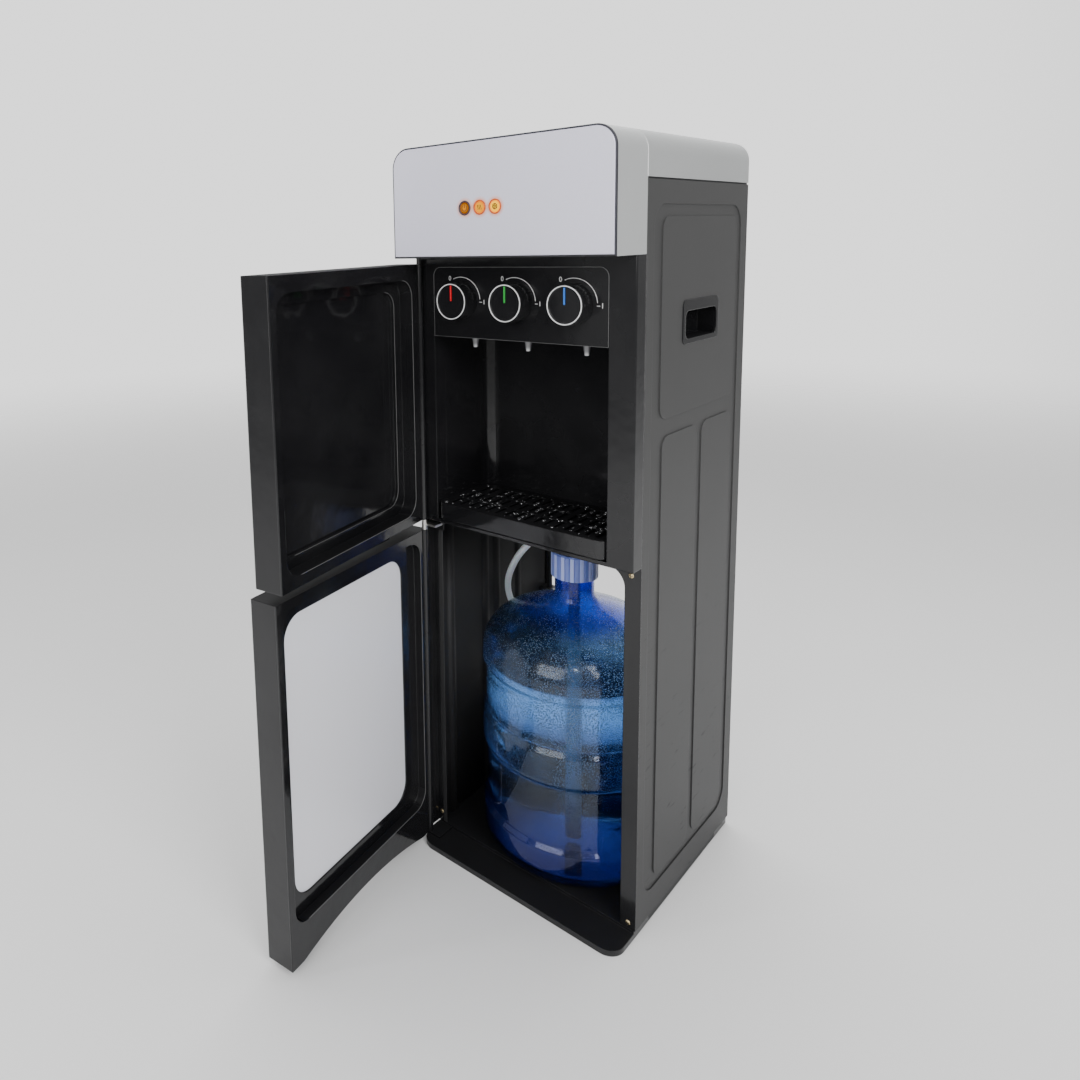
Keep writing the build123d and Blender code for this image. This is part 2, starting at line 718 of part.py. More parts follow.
# ---- Drip tray and its slotted grille ----
tray_reach = 2.8
tray_back_gap = 6.0
tray_front_y = frame_front_y - tray_reach
tray_back_y = niche_back_y - tray_back_gap
tray_top_z = 529.4
tray_wall = 2.0
tray_corner = 14.0
tray_ledge = 3.0
grille_thickness = 2.5
tray_bottom_z = niche_floor_z + fit_gap
tray_left_x = niche_left_x + fit_gap
tray_right_x = niche_right_x - fit_gap


def tray_outline(inset):
    with BuildSketch(Plane.XY, mode=Mode.PRIVATE) as outline:
        span(tray_left_x + inset, tray_right_x - inset, tray_front_y + inset, tray_back_y - inset)
        fillet(outline.vertices().group_by(Axis.Y)[-1], niche_corner - inset)
        fillet(outline.vertices().group_by(Axis.Y)[0], tray_corner - inset)
    return outline.sketch


with BuildPart() as drip_tray:
    with BuildSketch(Plane.XY.offset(tray_bottom_z)):
        add(tray_outline(0))
    extrude(amount=tray_top_z - tray_bottom_z)
    with BuildSketch(Plane.XY.offset(tray_bottom_z + tray_wall)):
        add(tray_outline(tray_wall + tray_ledge))
    extrude(amount=tray_top_z - tray_bottom_z, mode=Mode.SUBTRACT)
    with BuildSketch(Plane.XY.offset(tray_top_z - grille_thickness)):
        add(tray_outline(tray_wall))
    extrude(amount=2 * grille_thickness, mode=Mode.SUBTRACT)
drip_tray.part.label = "drip_tray"
export_step(drip_tray.part, "parts/drip_tray.step")

slot_rows = 3
slot_width = 6.0
slot_length = 28.0
slot_pitch_x = 15.0
slot_pitch_y = 34.0
slot_margin = 10.0
slot_columns = int((tray_right_x - tray_left_x - slot_margin) / slot_pitch_x)
grille_gap = 0.2
with BuildPart() as drip_grille:
    with BuildSketch(Plane.XY.offset(tray_top_z - grille_thickness)):
        add(tray_outline(tray_wall + grille_gap))
        with Locations(((tray_left_x + tray_right_x) / 2, (tray_front_y + tray_back_y) / 2)):
            with GridLocations(slot_pitch_x, slot_pitch_y, slot_columns, slot_rows):
                Rectangle(slot_width, slot_length, mode=Mode.SUBTRACT)
    extrude(amount=grille_thickness)
drip_grille.part.label = "drip_grille"
export_step(drip_grille.part, "parts/drip_grille.step")

# ---- Tanks: a bare hot tank with a domed top, and a foam-jacketed cold tank with a flat at the rear ----
tank_edge = 12.0
tank_neck = 10.0
tank_neck_radius = 9.0
heater_share = 0.4
heater_height_share = 0.2
heater_thickness = 3.0
with BuildPart() as hot_tank:
    with BuildSketch(Plane.XY.offset(shelf_z)):
        with Locations((tap_x[0], hot_tank_y)):
            Circle(hot_tank_radius)
    extrude(amount=hot_tank_height)
    fillet(hot_tank.edges().group_by(Axis.Z)[-1], tank_edge)
    with BuildSketch(Plane.XY.offset(shelf_z + hot_tank_height)):
        with Locations((tap_x[0], hot_tank_y)):
            Circle(tank_neck_radius)
    extrude(amount=tank_neck)
    with BuildSketch(facing_front(hot_tank_y)):
        with Locations((tap_x[0], drain_z)):
            Circle(drain_radius)
    extrude(amount=-(rear_y + 2 * sheet - hot_tank_y))
    heater_low = shelf_z + hot_tank_height * heater_share
    with BuildSketch(Plane.XY.offset(heater_low)):
        with Locations((tap_x[0], hot_tank_y)):
            Circle(hot_tank_radius + heater_thickness)
    extrude(amount=hot_tank_height * heater_height_share)
hot_tank.part.label = "hot_tank"
export_step(hot_tank.part, "parts/hot_tank.step")

cold_flat_depth = 4.0
cold_flat = cold_tank_radius - cold_flat_depth
jacket_corner = 8.0
jacket_edge = 3.0
cold_neck_x = tap_x[2]
with BuildPart() as cold_tank:
    with BuildSketch(Plane.XY.offset(shelf_z)) as jacket_ring:
        with Locations((cold_tank_x, cold_tank_y)):
            Circle(cold_tank_radius)
        cut_span(
            cold_tank_x - cold_tank_radius, cold_tank_x + cold_tank_radius,
            cold_tank_y + cold_flat, cold_tank_y + 2 * cold_tank_radius,
        )
        fillet(jacket_ring.vertices().group_by(Axis.Y)[-1], jacket_corner)
    extrude(amount=cold_tank_height)
    chamfer(cold_tank.edges().group_by(Axis.Z)[-1], jacket_edge)
    with BuildSketch(Plane.XY.offset(shelf_z + cold_tank_height)):
        with Locations((cold_neck_x, cold_tank_y)):
            Circle(tank_neck_radius)
    extrude(amount=tank_neck)
cold_tank.part.label = "cold_tank"
export_step(cold_tank.part, "parts/cold_tank.step")

# ---- Cooling: a cold block, a finned heat sink and a fan that blows through the rear panel ----
sink_size = 90.0
sink_base = 6.0
sink_fins = 13
fin_thickness = 1.6
fan_depth = 25.0
fan_standoff = 4.5
block_size = 38.0
fan_back_y = rear_sheet_y - sheet - fan_standoff
fan_front_y = fan_back_y - fan_depth
block_depth = 16.0
sink_base_y = cold_tank_y + cold_flat + block_depth
with BuildPart() as heat_sink:
    with BuildSketch(facing_front(sink_base_y)):
        with Locations((cold_tank_x, fan_z)):
            Rectangle(block_size, block_size)
    extrude(amount=sink_base_y - cold_tank_y - cold_flat)
    with BuildSketch(facing_front(sink_base_y + sink_base)):
        with Locations((cold_tank_x, fan_z)):
            Rectangle(sink_size, sink_size)
    extrude(amount=sink_base)
    with BuildSketch(facing_front(fan_front_y)):
        with Locations((cold_tank_x, fan_z)):
            with GridLocations((sink_size - fin_thickness) / (sink_fins - 1), 0, sink_fins, 1):
                Rectangle(fin_thickness, sink_size)
    extrude(amount=fan_front_y - sink_base_y - sink_base)
heat_sink.part.label = "heat_sink"
export_step(heat_sink.part, "parts/heat_sink.step")

fan_hub = 17.0
fan_motor_plate = 2.5
fan_strut = 4.0
fan_pin_radius = 2.0
fan_blades = 7
fan_tip_gap = 1.5
fan_hub_depth = 17.0
fan_pin_gap = 4.0
fan_corner = 5.0
fan_strut_lap = 3.0
fan_foot_radius = 4.0
fan_foot_inset = 6.0
with BuildPart() as fan_frame:
    with BuildSketch(facing_front(fan_back_y)):
        with Locations((cold_tank_x, fan_z)):
            RectangleRounded(fan_size, fan_size, fan_corner)
            Circle(fan_radius, mode=Mode.SUBTRACT)
    extrude(amount=fan_depth)
    with BuildSketch(facing_front(fan_back_y)):
        with Locations((cold_tank_x, fan_z)):
            Circle(fan_hub)
            with PolarLocations(fan_radius / 2 + fan_hub / 2, 3, start_angle=90):
                Rectangle(fan_radius - fan_hub + fan_strut_lap, fan_strut)
    extrude(amount=fan_motor_plate)
    with BuildSketch(facing_front(fan_back_y - fan_motor_plate)):
        with Locations((cold_tank_x, fan_z)):
            Circle(fan_pin_radius)
    extrude(amount=fan_hub_depth - fan_pin_gap)
    with BuildSketch(facing_front(fan_back_y + fan_standoff)):
        with Locations((cold_tank_x, fan_z)):
            with GridLocations(fan_size - 2 * fan_foot_inset, fan_size - 2 * fan_foot_inset, 2, 2):
                Circle(fan_foot_radius)
    extrude(amount=fan_standoff)
fan_frame.part.label = "fan_frame"
export_step(fan_frame.part, "parts/fan_frame.step")

rotor_gap = 0.6
rotor_back_y = fan_back_y - fan_motor_plate - rotor_gap
blade_thickness = 1.4
blade_chord = 16.0
blade_root_pitch = 48.0
blade_tip_pitch = 28.0
blade_root_share = 0.8
blade_root_lap = 2.0
hub_cap = 2.0


def blade_section(turn, radius, pitch):
    """The plane of one blade section, square to the spoke at that turn and pitched about it."""
    spoke = (cos(radians(turn)), 0, sin(radians(turn)))
    origin = (
        cold_tank_x + spoke[0] * radius,
        rotor_back_y - fan_hub_depth / 2,
        fan_z + spoke[2] * radius,
    )
    tangent = (-spoke[2], 0, spoke[0])
    lean = radians(pitch)
    chord = (tangent[0] * cos(lean), sin(lean), tangent[2] * cos(lean))
    return Plane(origin=origin, x_dir=chord, z_dir=spoke)


with BuildPart() as fan_rotor:
    with BuildSketch(facing_front(rotor_back_y)):
        with Locations((cold_tank_x, fan_z)):
            Circle(fan_hub)
    extrude(amount=fan_hub_depth)
    for blade in range(fan_blades):
        turn = blade * 360 / fan_blades
        with BuildSketch(blade_section(turn, fan_hub - blade_root_lap, blade_root_pitch)):
            Rectangle(blade_chord * blade_root_share, blade_thickness)
        with BuildSketch(blade_section(turn, fan_radius - fan_tip_gap, blade_tip_pitch)):
            Rectangle(blade_chord, blade_thickness)
        loft()
    with BuildSketch(facing_front(rotor_back_y)):
        with Locations((cold_tank_x, fan_z)):
            Circle(fan_pin_radius + turning_gap)
    extrude(amount=fan_hub_depth - hub_cap, mode=Mode.SUBTRACT)
fan_rotor.part.label = "fan_rotor"
export_step(fan_rotor.part, "parts/fan_rotor.step")

# ---- Water pump on the bay ceiling, above the suction line ----
pump_offset = 20.0
pump_inset = 38.0
pump_x = line_x + pump_offset
pump_y = rear_y - pump_inset
pump_length = 60.0
pump_width = 40.0
pump_base = 26.0
pump_motor_radius = 17.0
pump_motor_height = 34.0
pump_corner = 5.0
pump_edge = 3.0
with BuildPart() as water_pump:
    with BuildSketch(Plane.XY.offset(ceiling_top_z)):
        with Locations((pump_x, pump_y)):
            RectangleRounded(pump_width, pump_length, pump_corner)
    extrude(amount=pump_base)
    with BuildSketch(Plane.XY.offset(ceiling_top_z + pump_base)):
        with Locations((pump_x, pump_y)):
            Circle(pump_motor_radius)
    extrude(amount=pump_motor_height)
    fillet(water_pump.edges().group_by(Axis.Z)[-1], pump_edge)
water_pump.part.label = "water_pump"
export_step(water_pump.part, "parts/water_pump.step")

# ---- Water lines: from the tanks and the pump forward to the three valves ----
line_end_y = valve_back_y + spigot_length
pump_outlet_z = ceiling_top_z + pump_base / 2
line_bend = 16.0
line_routes = [
    [
        (tap_x[0], line_end_y, tap_z), (tap_x[0], hot_tank_y, tap_z),
        (tap_x[0], hot_tank_y, shelf_z + hot_tank_height + tank_neck),
    ],
    [
        (tap_x[1], line_end_y, tap_z), (tap_x[1], room_line_y, tap_z),
        (tap_x[1], room_line_y, pump_outlet_z), (pump_x + pump_width / 2, room_line_y, pump_outlet_z),
    ],
    [
        (tap_x[2], line_end_y, tap_z), (tap_x[2], cold_tank_y, tap_z),
        (tap_x[2], cold_tank_y, shelf_z + cold_tank_height + tank_neck),
    ],
]
with BuildPart() as water_lines:
    for route in line_routes:
        with BuildLine() as path:
            FilletPolyline(*route, radius=line_bend)
        with BuildSketch(Plane(origin=route[0], z_dir=(0, 1, 0))):
            Circle(line_radius)
        sweep(path=path.line)
water_lines.part.label = "water_lines"
export_step(water_lines.part, "parts/water_lines.step")

# ---- Hose port: a block at the rear left of the bay, a spigot to the front, a line up to the pump ----
port_size = 20.0
spigot_radius = 3.0
spigot_reach = 12.0
port_edge = 2.0
port_front_y = port_y - port_size / 2
with BuildPart() as hose_port:
    with BuildSketch(Plane.XY.offset(port_z - port_size / 2)):
        span(-panel_side_x, port_x + port_size / 2, port_front_y, rear_sheet_y - sheet)
    extrude(amount=port_size)
    fillet(hose_port.edges().filter_by(Axis.X), port_edge)
    with BuildSketch(facing_front(port_front_y)):
        with Locations((port_x, port_z)):
            Circle(spigot_radius)
    extrude(amount=spigot_reach)
    with BuildSketch(Plane.XY.offset(port_z)):
        with Locations((line_x, port_y)):
            Circle(line_radius)
    extrude(amount=ceiling_top_z - port_z)
hose_port.part.label = "hose_port"
export_step(hose_port.part, "parts/hose_port.step")

# ---- Rear fittings: switch plate with two rockers, cord gland and drain cap ----
switch_plate_thickness = 2.0
switch_pitch = 26.0
rocker_width = 13.0
rocker_height = 19.0
pocket_gap = 0.6
pocket_depth = 13.0
pocket_wall = 2.0
rocker_pin_radius = 1.0
rocker_throw = 8.0
pocket_width = rocker_width + 2 * pocket_gap
pocket_height = rocker_height + 2 * pocket_gap
rocker_setback = 1.0
switch_corner = 3.0
rocker_back = 4.0
rocker_reach = 5.0
rocker_dip = 3.0
rocker_back_inset = 0.8
rocker_front_inset = 0.3
pin_share = 0.8
rocker_y = rear_sheet_y - rocker_setback
switch_names = ["hot", "cold"]
switch_xs = [switch_x - switch_pitch / 2, switch_x + switch_pitch / 2]
with BuildPart() as switch_plate:
    with BuildSketch(facing_front(rear_sheet_y + switch_plate_thickness)):
        with Locations((switch_x, switch_z)):
            RectangleRounded(switch_width, switch_height, switch_corner)
    extrude(amount=switch_plate_thickness)
    with BuildSketch(facing_front(rear_sheet_y)):
        with Locations(*[(x, switch_z) for x in switch_xs]):
            Rectangle(pocket_width + 2 * pocket_wall, pocket_height + 2 * pocket_wall)
    extrude(amount=pocket_depth)
    with BuildSketch(facing_front(rear_sheet_y + switch_plate_thickness)):
        with Locations(*[(x, switch_z) for x in switch_xs]):
            Rectangle(pocket_width, pocket_height)
    extrude(amount=pocket_depth + switch_plate_thickness - pocket_wall, mode=Mode.SUBTRACT)
    with BuildSketch(Plane.YZ.offset(switch_x - switch_width / 2)):
        with Locations((rocker_y, switch_z)):
            Circle(rocker_pin_radius + turning_gap)
    extrude(amount=switch_width, mode=Mode.SUBTRACT)
switch_plate.part.label = "switch_plate"
export_step(switch_plate.part, "parts/switch_plate.step")

rocker_pin_reach = pocket_gap + pocket_wall * pin_share
rocker_half = rocker_height / 2
for x, name in zip(switch_xs, switch_names):
    rocker_plane = Plane(
        origin=(x, rocker_y, switch_z),
        x_dir=(0, cos(radians(rocker_throw)), sin(radians(rocker_throw))),
        z_dir=(1, 0, 0),
    )
    with BuildPart() as rocker:
        with BuildSketch(rocker_plane):
            with BuildLine():
                Polyline(
                    (-rocker_back, -rocker_half + rocker_back_inset),
                    (rocker_reach, -rocker_half + rocker_front_inset),
                    (rocker_dip, 0.0),
                    (rocker_reach, rocker_half - rocker_front_inset),
                    (-rocker_back, rocker_half - rocker_back_inset),
                    close=True,
                )
            make_face()
        extrude(amount=rocker_width / 2, both=True)
        with BuildSketch(rocker_plane):
            Circle(rocker_pin_radius)
        extrude(amount=rocker_width / 2 + rocker_pin_reach, both=True)
    rocker.part.label = f"switch_{name}"
    export_step(rocker.part, f"parts/switch_{name}.step")

gland_flange = 12.0
gland_bore = 3.6
gland_length = 8.0
gland_inner = 4.0
gland_flange_thickness = 2.5
gland_edge = 1.5
with BuildPart() as power_gland:
    with BuildSketch(facing_front(rear_sheet_y + gland_length)):
        with Locations((gland_x, gland_z)):
            Circle(gland_radius - fit_gap)
    extrude(amount=gland_length + 2 * sheet + gland_inner)
    with BuildSketch(facing_front(rear_sheet_y + gland_flange_thickness)):
        with Locations((gland_x, gland_z)):
            Circle(gland_flange)
    extrude(amount=gland_flange_thickness)
    chamfer(power_gland.faces().sort_by(Axis.Y)[-1].edges(), gland_edge)
    with BuildSketch(facing_front(rear_sheet_y + gland_length)):
        with Locations((gland_x, gland_z)):
            Circle(gland_bore)
    extrude(amount=gland_length, mode=Mode.SUBTRACT)
power_gland.part.label = "power_gland"
export_step(power_gland.part, "parts/power_gland.step")

drain_cap_radius = 11.0
drain_cap_wall = 2.5
drain_cap_grooves = 12
drain_cap_groove = 1.0
drain_end_y = rear_y + 2 * sheet
with BuildPart() as drain_cap:
    with BuildSketch(facing_front(drain_end_y + fit_gap + drain_cap_wall)):
        with Locations((tap_x[0], drain_z)):
            Circle(drain_cap_radius)
    extrude(amount=drain_end_y + drain_cap_wall - rear_sheet_y)
    with BuildSketch(facing_front(drain_end_y + fit_gap + drain_cap_wall)):
        with Locations((tap_x[0], drain_z)):
            with PolarLocations(drain_cap_radius, drain_cap_grooves):
                RegularPolygon(drain_cap_groove, 4)
    extrude(amount=drain_end_y + drain_cap_wall - rear_sheet_y, mode=Mode.SUBTRACT)
    with BuildSketch(facing_front(drain_end_y + fit_gap)):
        with Locations((tap_x[0], drain_z)):
            Circle(drain_radius + fit_gap)
    extrude(amount=drain_end_y - rear_sheet_y, mode=Mode.SUBTRACT)
drain_cap.part.label = "drain_cap"
export_step(drain_cap.part, "parts/drain_cap.step")

# ---- Door hinges: three brackets with pins; each pin runs in a bore of a door's barrel ----
collar_gap = 0.3
bracket_left_x = hinge_x - barrel_radius
bracket_length = 20.0
bracket_right_x = hinge_x + bracket_length
tab_thickness = 1.6
tab_inset = 6.0


def bracket_plate(low_z):
    """A flat plate from the cabinet's front to the hinge axis, round at the pin."""
    with BuildSketch(Plane.XY.offset(low_z)) as plate:
        span(bracket_left_x, bracket_right_x, hinge_y, front_y)
        with Locations((hinge_x, hinge_y)):
            Circle(barrel_radius)
    extrude(plate.sketch, amount=bracket)


def hinge_pin(low_z, high_z, radius):
    """A round post on the hinge axis between two heights."""
    with BuildSketch(Plane.XY.offset(low_z)) as post:
        with Locations((hinge_x, hinge_y)):
            Circle(radius)
    extrude(post.sketch, amount=high_z - low_z)


middle_plate_z = (lower_door_top_z + upper_door_bottom_z - bracket) / 2
with BuildPart() as hinge_top:
    with BuildSketch(Plane.XY.offset(hood_z - bracket)):
        span(bracket_left_x, bracket_right_x, hinge_y, frame_front_y)
        with Locations((hinge_x, hinge_y)):
            Circle(barrel_radius)
    extrude(amount=bracket)
    hinge_pin(upper_door_top_z + collar_gap, hood_z - bracket, barrel_radius)
    hinge_pin(upper_door_top_z - pin_depth, hood_z - bracket, pin_radius)
hinge_top.part.label = "hinge_top"
export_step(hinge_top.part, "parts/hinge_top.step")

tab_drop = 12.0
with BuildPart() as hinge_middle:
    bracket_plate(middle_plate_z)
    with BuildSketch(facing_front(front_y)):
        span(bracket_left_x, bracket_right_x - tab_inset, middle_plate_z - tab_drop, middle_plate_z)
    extrude(amount=tab_thickness)
    hinge_pin(lower_door_top_z + collar_gap, upper_door_bottom_z - collar_gap, barrel_radius)
    hinge_pin(lower_door_top_z - pin_depth, upper_door_bottom_z + pin_depth, pin_radius)
hinge_middle.part.label = "hinge_middle"
export_step(hinge_middle.part, "parts/hinge_middle.step")

with BuildPart() as hinge_bottom:
    with BuildSketch(Plane.XY.offset(lip_top_z)):
        span(bracket_left_x, bracket_right_x, hinge_y - barrel_radius, front_y)
    extrude(amount=lower_door_bottom_z - lip_top_z - collar_gap)
    hinge_pin(lip_top_z, lower_door_bottom_z + pin_depth, pin_radius)
hinge_bottom.part.label = "hinge_bottom"
export_step(hinge_bottom.part, "parts/hinge_bottom.step")


# ---- Doors: an outer shell and an inner moulding with a stepped recess, built as they stand open ----
def door_plane(angle, out=0.0):
    """The open door's own plane: x runs along the door from the hinge axis, y is up,
    and z points out of the door's outer face."""
    turn = radians(angle)
    along = (cos(turn), -sin(turn), 0)
    outward = (-sin(turn), -cos(turn), 0)
    origin = (hinge_x + outward[0] * out, hinge_y + outward[1] * out, 0)
    return Plane(origin=origin, x_dir=along, z_dir=outward)


def door_top_plane(angle, z):
    """A level plane at height z whose x runs along the open door and whose y points inward."""
    turn = radians(angle)
    return Plane(origin=(hinge_x, hinge_y, z), x_dir=(cos(turn), -sin(turn), 0), z_dir=(0, 0, 1))


def outward_axis(angle):
    """The direction out of the open door's outer face."""
    return Axis((0, 0, 0), door_plane(angle).z_dir)


door_left = -door_edge
door_right = door_width - door_edge
face_edge = 3.0
bore_spare = 1.0
plate_thickness = 2.5
tub_wall = 2.0
barrel_clearance = 0.3


def barrel_bores(bottom_z, top_z):
    """Blind bores for the pins in both ends of a barrel."""
    for low_z in (bottom_z, top_z - pin_depth - bore_spare):
        with BuildSketch(Plane.XY.offset(low_z)) as bore:
            with Locations((hinge_x, hinge_y)):
                Circle(pin_radius + turning_gap)
        extrude(bore.sketch, amount=pin_depth + bore_spare, mode=Mode.SUBTRACT)


def door_barrel(bottom_z, top_z):
    """The bead along the hinge edge that the pins run in."""
    with BuildSketch(Plane.XY.offset(bottom_z)) as bead:
        with Locations((hinge_x, hinge_y)):
            Circle(barrel_radius)
    extrude(bead.sketch, amount=top_z - bottom_z)


def barrel_notch(bottom_z, top_z):
    """Room in the shell for the inner moulding's bead."""
    with BuildSketch(Plane.XY.offset(bottom_z)) as notch:
        with Locations((hinge_x, hinge_y)):
            Circle(barrel_radius + barrel_clearance)
    extrude(notch.sketch, amount=top_z - bottom_z, mode=Mode.SUBTRACT)


# The recess of the upper door clears the knobs: its outline is measured from the hinge axis.
recess_left = 21.0
recess_far_margin = 15.0
recess_right = door_width - recess_far_margin
recess_foot = 14.0
recess_head = 20.5
recess_bottom_z = upper_door_bottom_z + recess_foot
recess_top_z = upper_door_top_z - recess_head
recess_corner = 24.0
recess_depth = 20.0
recess_step = 15.0
recess_step_depth = 5.0

with BuildPart() as upper_door_liner:
    with BuildSketch(door_plane(upper_door_angle)):
        span(door_left + door_edge, door_right, upper_door_bottom_z, upper_door_top_z)
    extrude(amount=plate_thickness)
    door_barrel(upper_door_bottom_z, upper_door_top_z)
    with BuildSketch(door_plane(upper_door_angle, plate_thickness)):
        round_span(
            recess_left - tub_wall, recess_right + tub_wall,
            recess_bottom_z - tub_wall, recess_top_z + tub_wall, recess_corner + tub_wall,
        )
    extrude(amount=recess_depth + tub_wall - plate_thickness)
    with BuildSketch(door_plane(upper_door_angle, recess_depth)):
        round_span(
            recess_left + recess_step - tub_wall, recess_right - recess_step + tub_wall,
            recess_bottom_z + recess_step - tub_wall, recess_top_z - recess_step + tub_wall,
            recess_corner,
        )
    extrude(amount=recess_step_depth + tub_wall)
    with BuildSketch(door_plane(upper_door_angle)):
        round_span(recess_left, recess_right, recess_bottom_z, recess_top_z, recess_corner)
    extrude(amount=recess_depth, mode=Mode.SUBTRACT)
    with BuildSketch(door_plane(upper_door_angle)):
        round_span(
            recess_left + recess_step, recess_right - recess_step,
            recess_bottom_z + recess_step, recess_top_z - recess_step, recess_corner - tub_wall,
        )
    extrude(amount=recess_depth + recess_step_depth, mode=Mode.SUBTRACT)
    barrel_bores(upper_door_bottom_z, upper_door_top_z)
upper_door_liner.part.label = "upper_door_liner"
export_step(upper_door_liner.part, "parts/upper_door_liner.step")

with BuildPart() as upper_door_shell:
    with BuildSketch(door_plane(upper_door_angle, plate_thickness)):
        span(door_left, door_right, upper_door_bottom_z, upper_door_top_z)
    extrude(amount=door_thickness - plate_thickness)
    outer_face = upper_door_shell.faces().sort_by(outward_axis(upper_door_angle))[-1]
    fillet(outer_face.edges(), face_edge)
    with BuildSketch(door_plane(upper_door_angle, plate_thickness)):
        span(
            door_left + door_wall, door_right - door_wall,
            upper_door_bottom_z + door_wall, upper_door_top_z - door_wall,
        )
    extrude(amount=door_thickness - plate_thickness - door_wall, mode=Mode.SUBTRACT)
    barrel_notch(upper_door_bottom_z, upper_door_top_z)
upper_door_shell.part.label = "upper_door_shell"
export_step(upper_door_shell.part, "parts/upper_door_shell.step")

# The lower door has an arched foot, a grip channel in its top and a silver panel in its recess.
arch_left = 22.0
arch_far_margin = 26.0
arch_right = door_width - arch_far_margin
arch_rise = 18.0
foot_height = arch_rise + door_wall
lower_recess_left = 12.0
lower_recess_far_margin = 14.0
lower_recess_foot = 51.0
lower_recess_head = 13.0
lower_recess_right = door_width - lower_recess_far_margin
lower_recess_bottom_z = lower_door_bottom_z + lower_recess_foot
lower_recess_top_z = lower_door_top_z - lower_recess_head
lower_recess_depth = 12.0
window_left = 44.0
window_far_margin = 28.0
window_foot = 73.0
window_head = 29.0
window_right = door_width - window_far_margin
window_bottom_z = lower_door_bottom_z + window_foot
window_top_z = lower_door_top_z - window_head
window_radius = 30.0
window_lap = 8.0
window_thickness = 2.0
grip_left = 60.0
grip_far_margin = 68.0
grip_right = door_width - grip_far_margin
grip_near = 18.0
grip_far = 34.0
grip_depth = 10.0


def arch_cut(angle):
    """The shallow arch between the two feet of the lower door."""
    with BuildSketch(door_plane(angle, -barrel_radius)) as arch:
        with BuildLine() as arch_line:
            ThreePointArc(
                (arch_left, lower_door_bottom_z),
                ((arch_left + arch_right) / 2, lower_door_bottom_z + arch_rise),
                (arch_right, lower_door_bottom_z),
            )
            Line((arch_right, lower_door_bottom_z), (arch_left, lower_door_bottom_z))
        make_face(arch_line.edges())
    extrude(arch.sketch, amount=door_thickness + 2 * barrel_radius, mode=Mode.SUBTRACT)


with BuildPart() as lower_door_liner:
    with BuildSketch(door_plane(lower_door_angle)):
        span(door_left + door_edge, door_right, lower_door_bottom_z, lower_door_top_z)
    extrude(amount=plate_thickness)
    door_barrel(lower_door_bottom_z, lower_door_top_z)
    with BuildSketch(door_plane(lower_door_angle, plate_thickness)):
        round_span(
            lower_recess_left - tub_wall, lower_recess_right + tub_wall,
            lower_recess_bottom_z - tub_wall, lower_recess_top_z + tub_wall, recess_corner + tub_wall,
        )
    extrude(amount=lower_recess_depth + tub_wall - plate_thickness)
    with BuildSketch(door_plane(lower_door_angle)):
        round_span(
            lower_recess_left, lower_recess_right,
            lower_recess_bottom_z, lower_recess_top_z, recess_corner,
        )
    extrude(amount=lower_recess_depth, mode=Mode.SUBTRACT)
    with BuildSketch(door_plane(lower_door_angle)):
        round_span(window_left, window_right, window_bottom_z, window_top_z, window_radius)
    extrude(amount=lower_recess_depth + 2 * tub_wall, mode=Mode.SUBTRACT)
    arch_cut(lower_door_angle)
    barrel_bores(lower_door_bottom_z, lower_door_top_z)
lower_door_liner.part.label = "lower_door_liner"
export_step(lower_door_liner.part, "parts/lower_door_liner.step")

with BuildPart() as lower_door_window:
    with BuildSketch(door_plane(lower_door_angle, lower_recess_depth + tub_wall)):
        round_span(
            window_left - window_lap, window_right + window_lap,
            window_bottom_z - window_lap, window_top_z + window_lap, window_radius,
        )
    extrude(amount=window_thickness)
lower_door_window.part.label = "lower_door_window"
export_step(lower_door_window.part, "parts/lower_door_window.step")

with BuildPart() as lower_door_shell:
    with BuildSketch(door_plane(lower_door_angle, plate_thickness)):
        span(door_left, door_right, lower_door_bottom_z, lower_door_top_z)
    extrude(amount=door_thickness - plate_thickness)
    outer_face = lower_door_shell.faces().sort_by(outward_axis(lower_door_angle))[-1]
    fillet(outer_face.edges(), face_edge)
    with BuildSketch(door_plane(lower_door_angle, plate_thickness)):
        span(
            door_left + door_wall, door_right - door_wall,
            lower_door_bottom_z + foot_height, lower_door_top_z - door_wall,
        )
    extrude(amount=door_thickness - plate_thickness - door_wall, mode=Mode.SUBTRACT)
    with BuildSketch(door_top_plane(lower_door_angle, lower_door_top_z)):
        span(grip_left - tub_wall, grip_right + tub_wall, -grip_far - tub_wall, -grip_near + tub_wall)
    extrude(amount=-grip_depth - tub_wall)
    with BuildSketch(door_top_plane(lower_door_angle, lower_door_top_z)):
        span(grip_left, grip_right, -grip_far, -grip_near)
    extrude(amount=-grip_depth, mode=Mode.SUBTRACT)
    barrel_notch(lower_door_bottom_z, lower_door_top_z)
    arch_cut(lower_door_angle)
lower_door_shell.part.label = "lower_door_shell"
export_step(lower_door_shell.part, "parts/lower_door_shell.step")

# ---- Water bottle: five gallons, three stiffening rings, closed by a ribbed cap ----
ring_heights = [32.0, 174.0, 295.0]
ring_half = 20.0
waist_depth = 5.1
waist_radius = bottle_radius - waist_depth
waist_run = 8.0
foot_inset = 13.6
base_radius = bottle_radius - foot_inset
shoulder_gap = 30.0
shoulder_rise = 41.0
shoulder_start = ring_heights[-1] + shoulder_gap
shoulder_end = shoulder_start + shoulder_rise
shoulder_bend = 55.0
neck_bend = 20.0
ring_bend = 6.0
foot_bend = 14.0
side_bend = 22.0


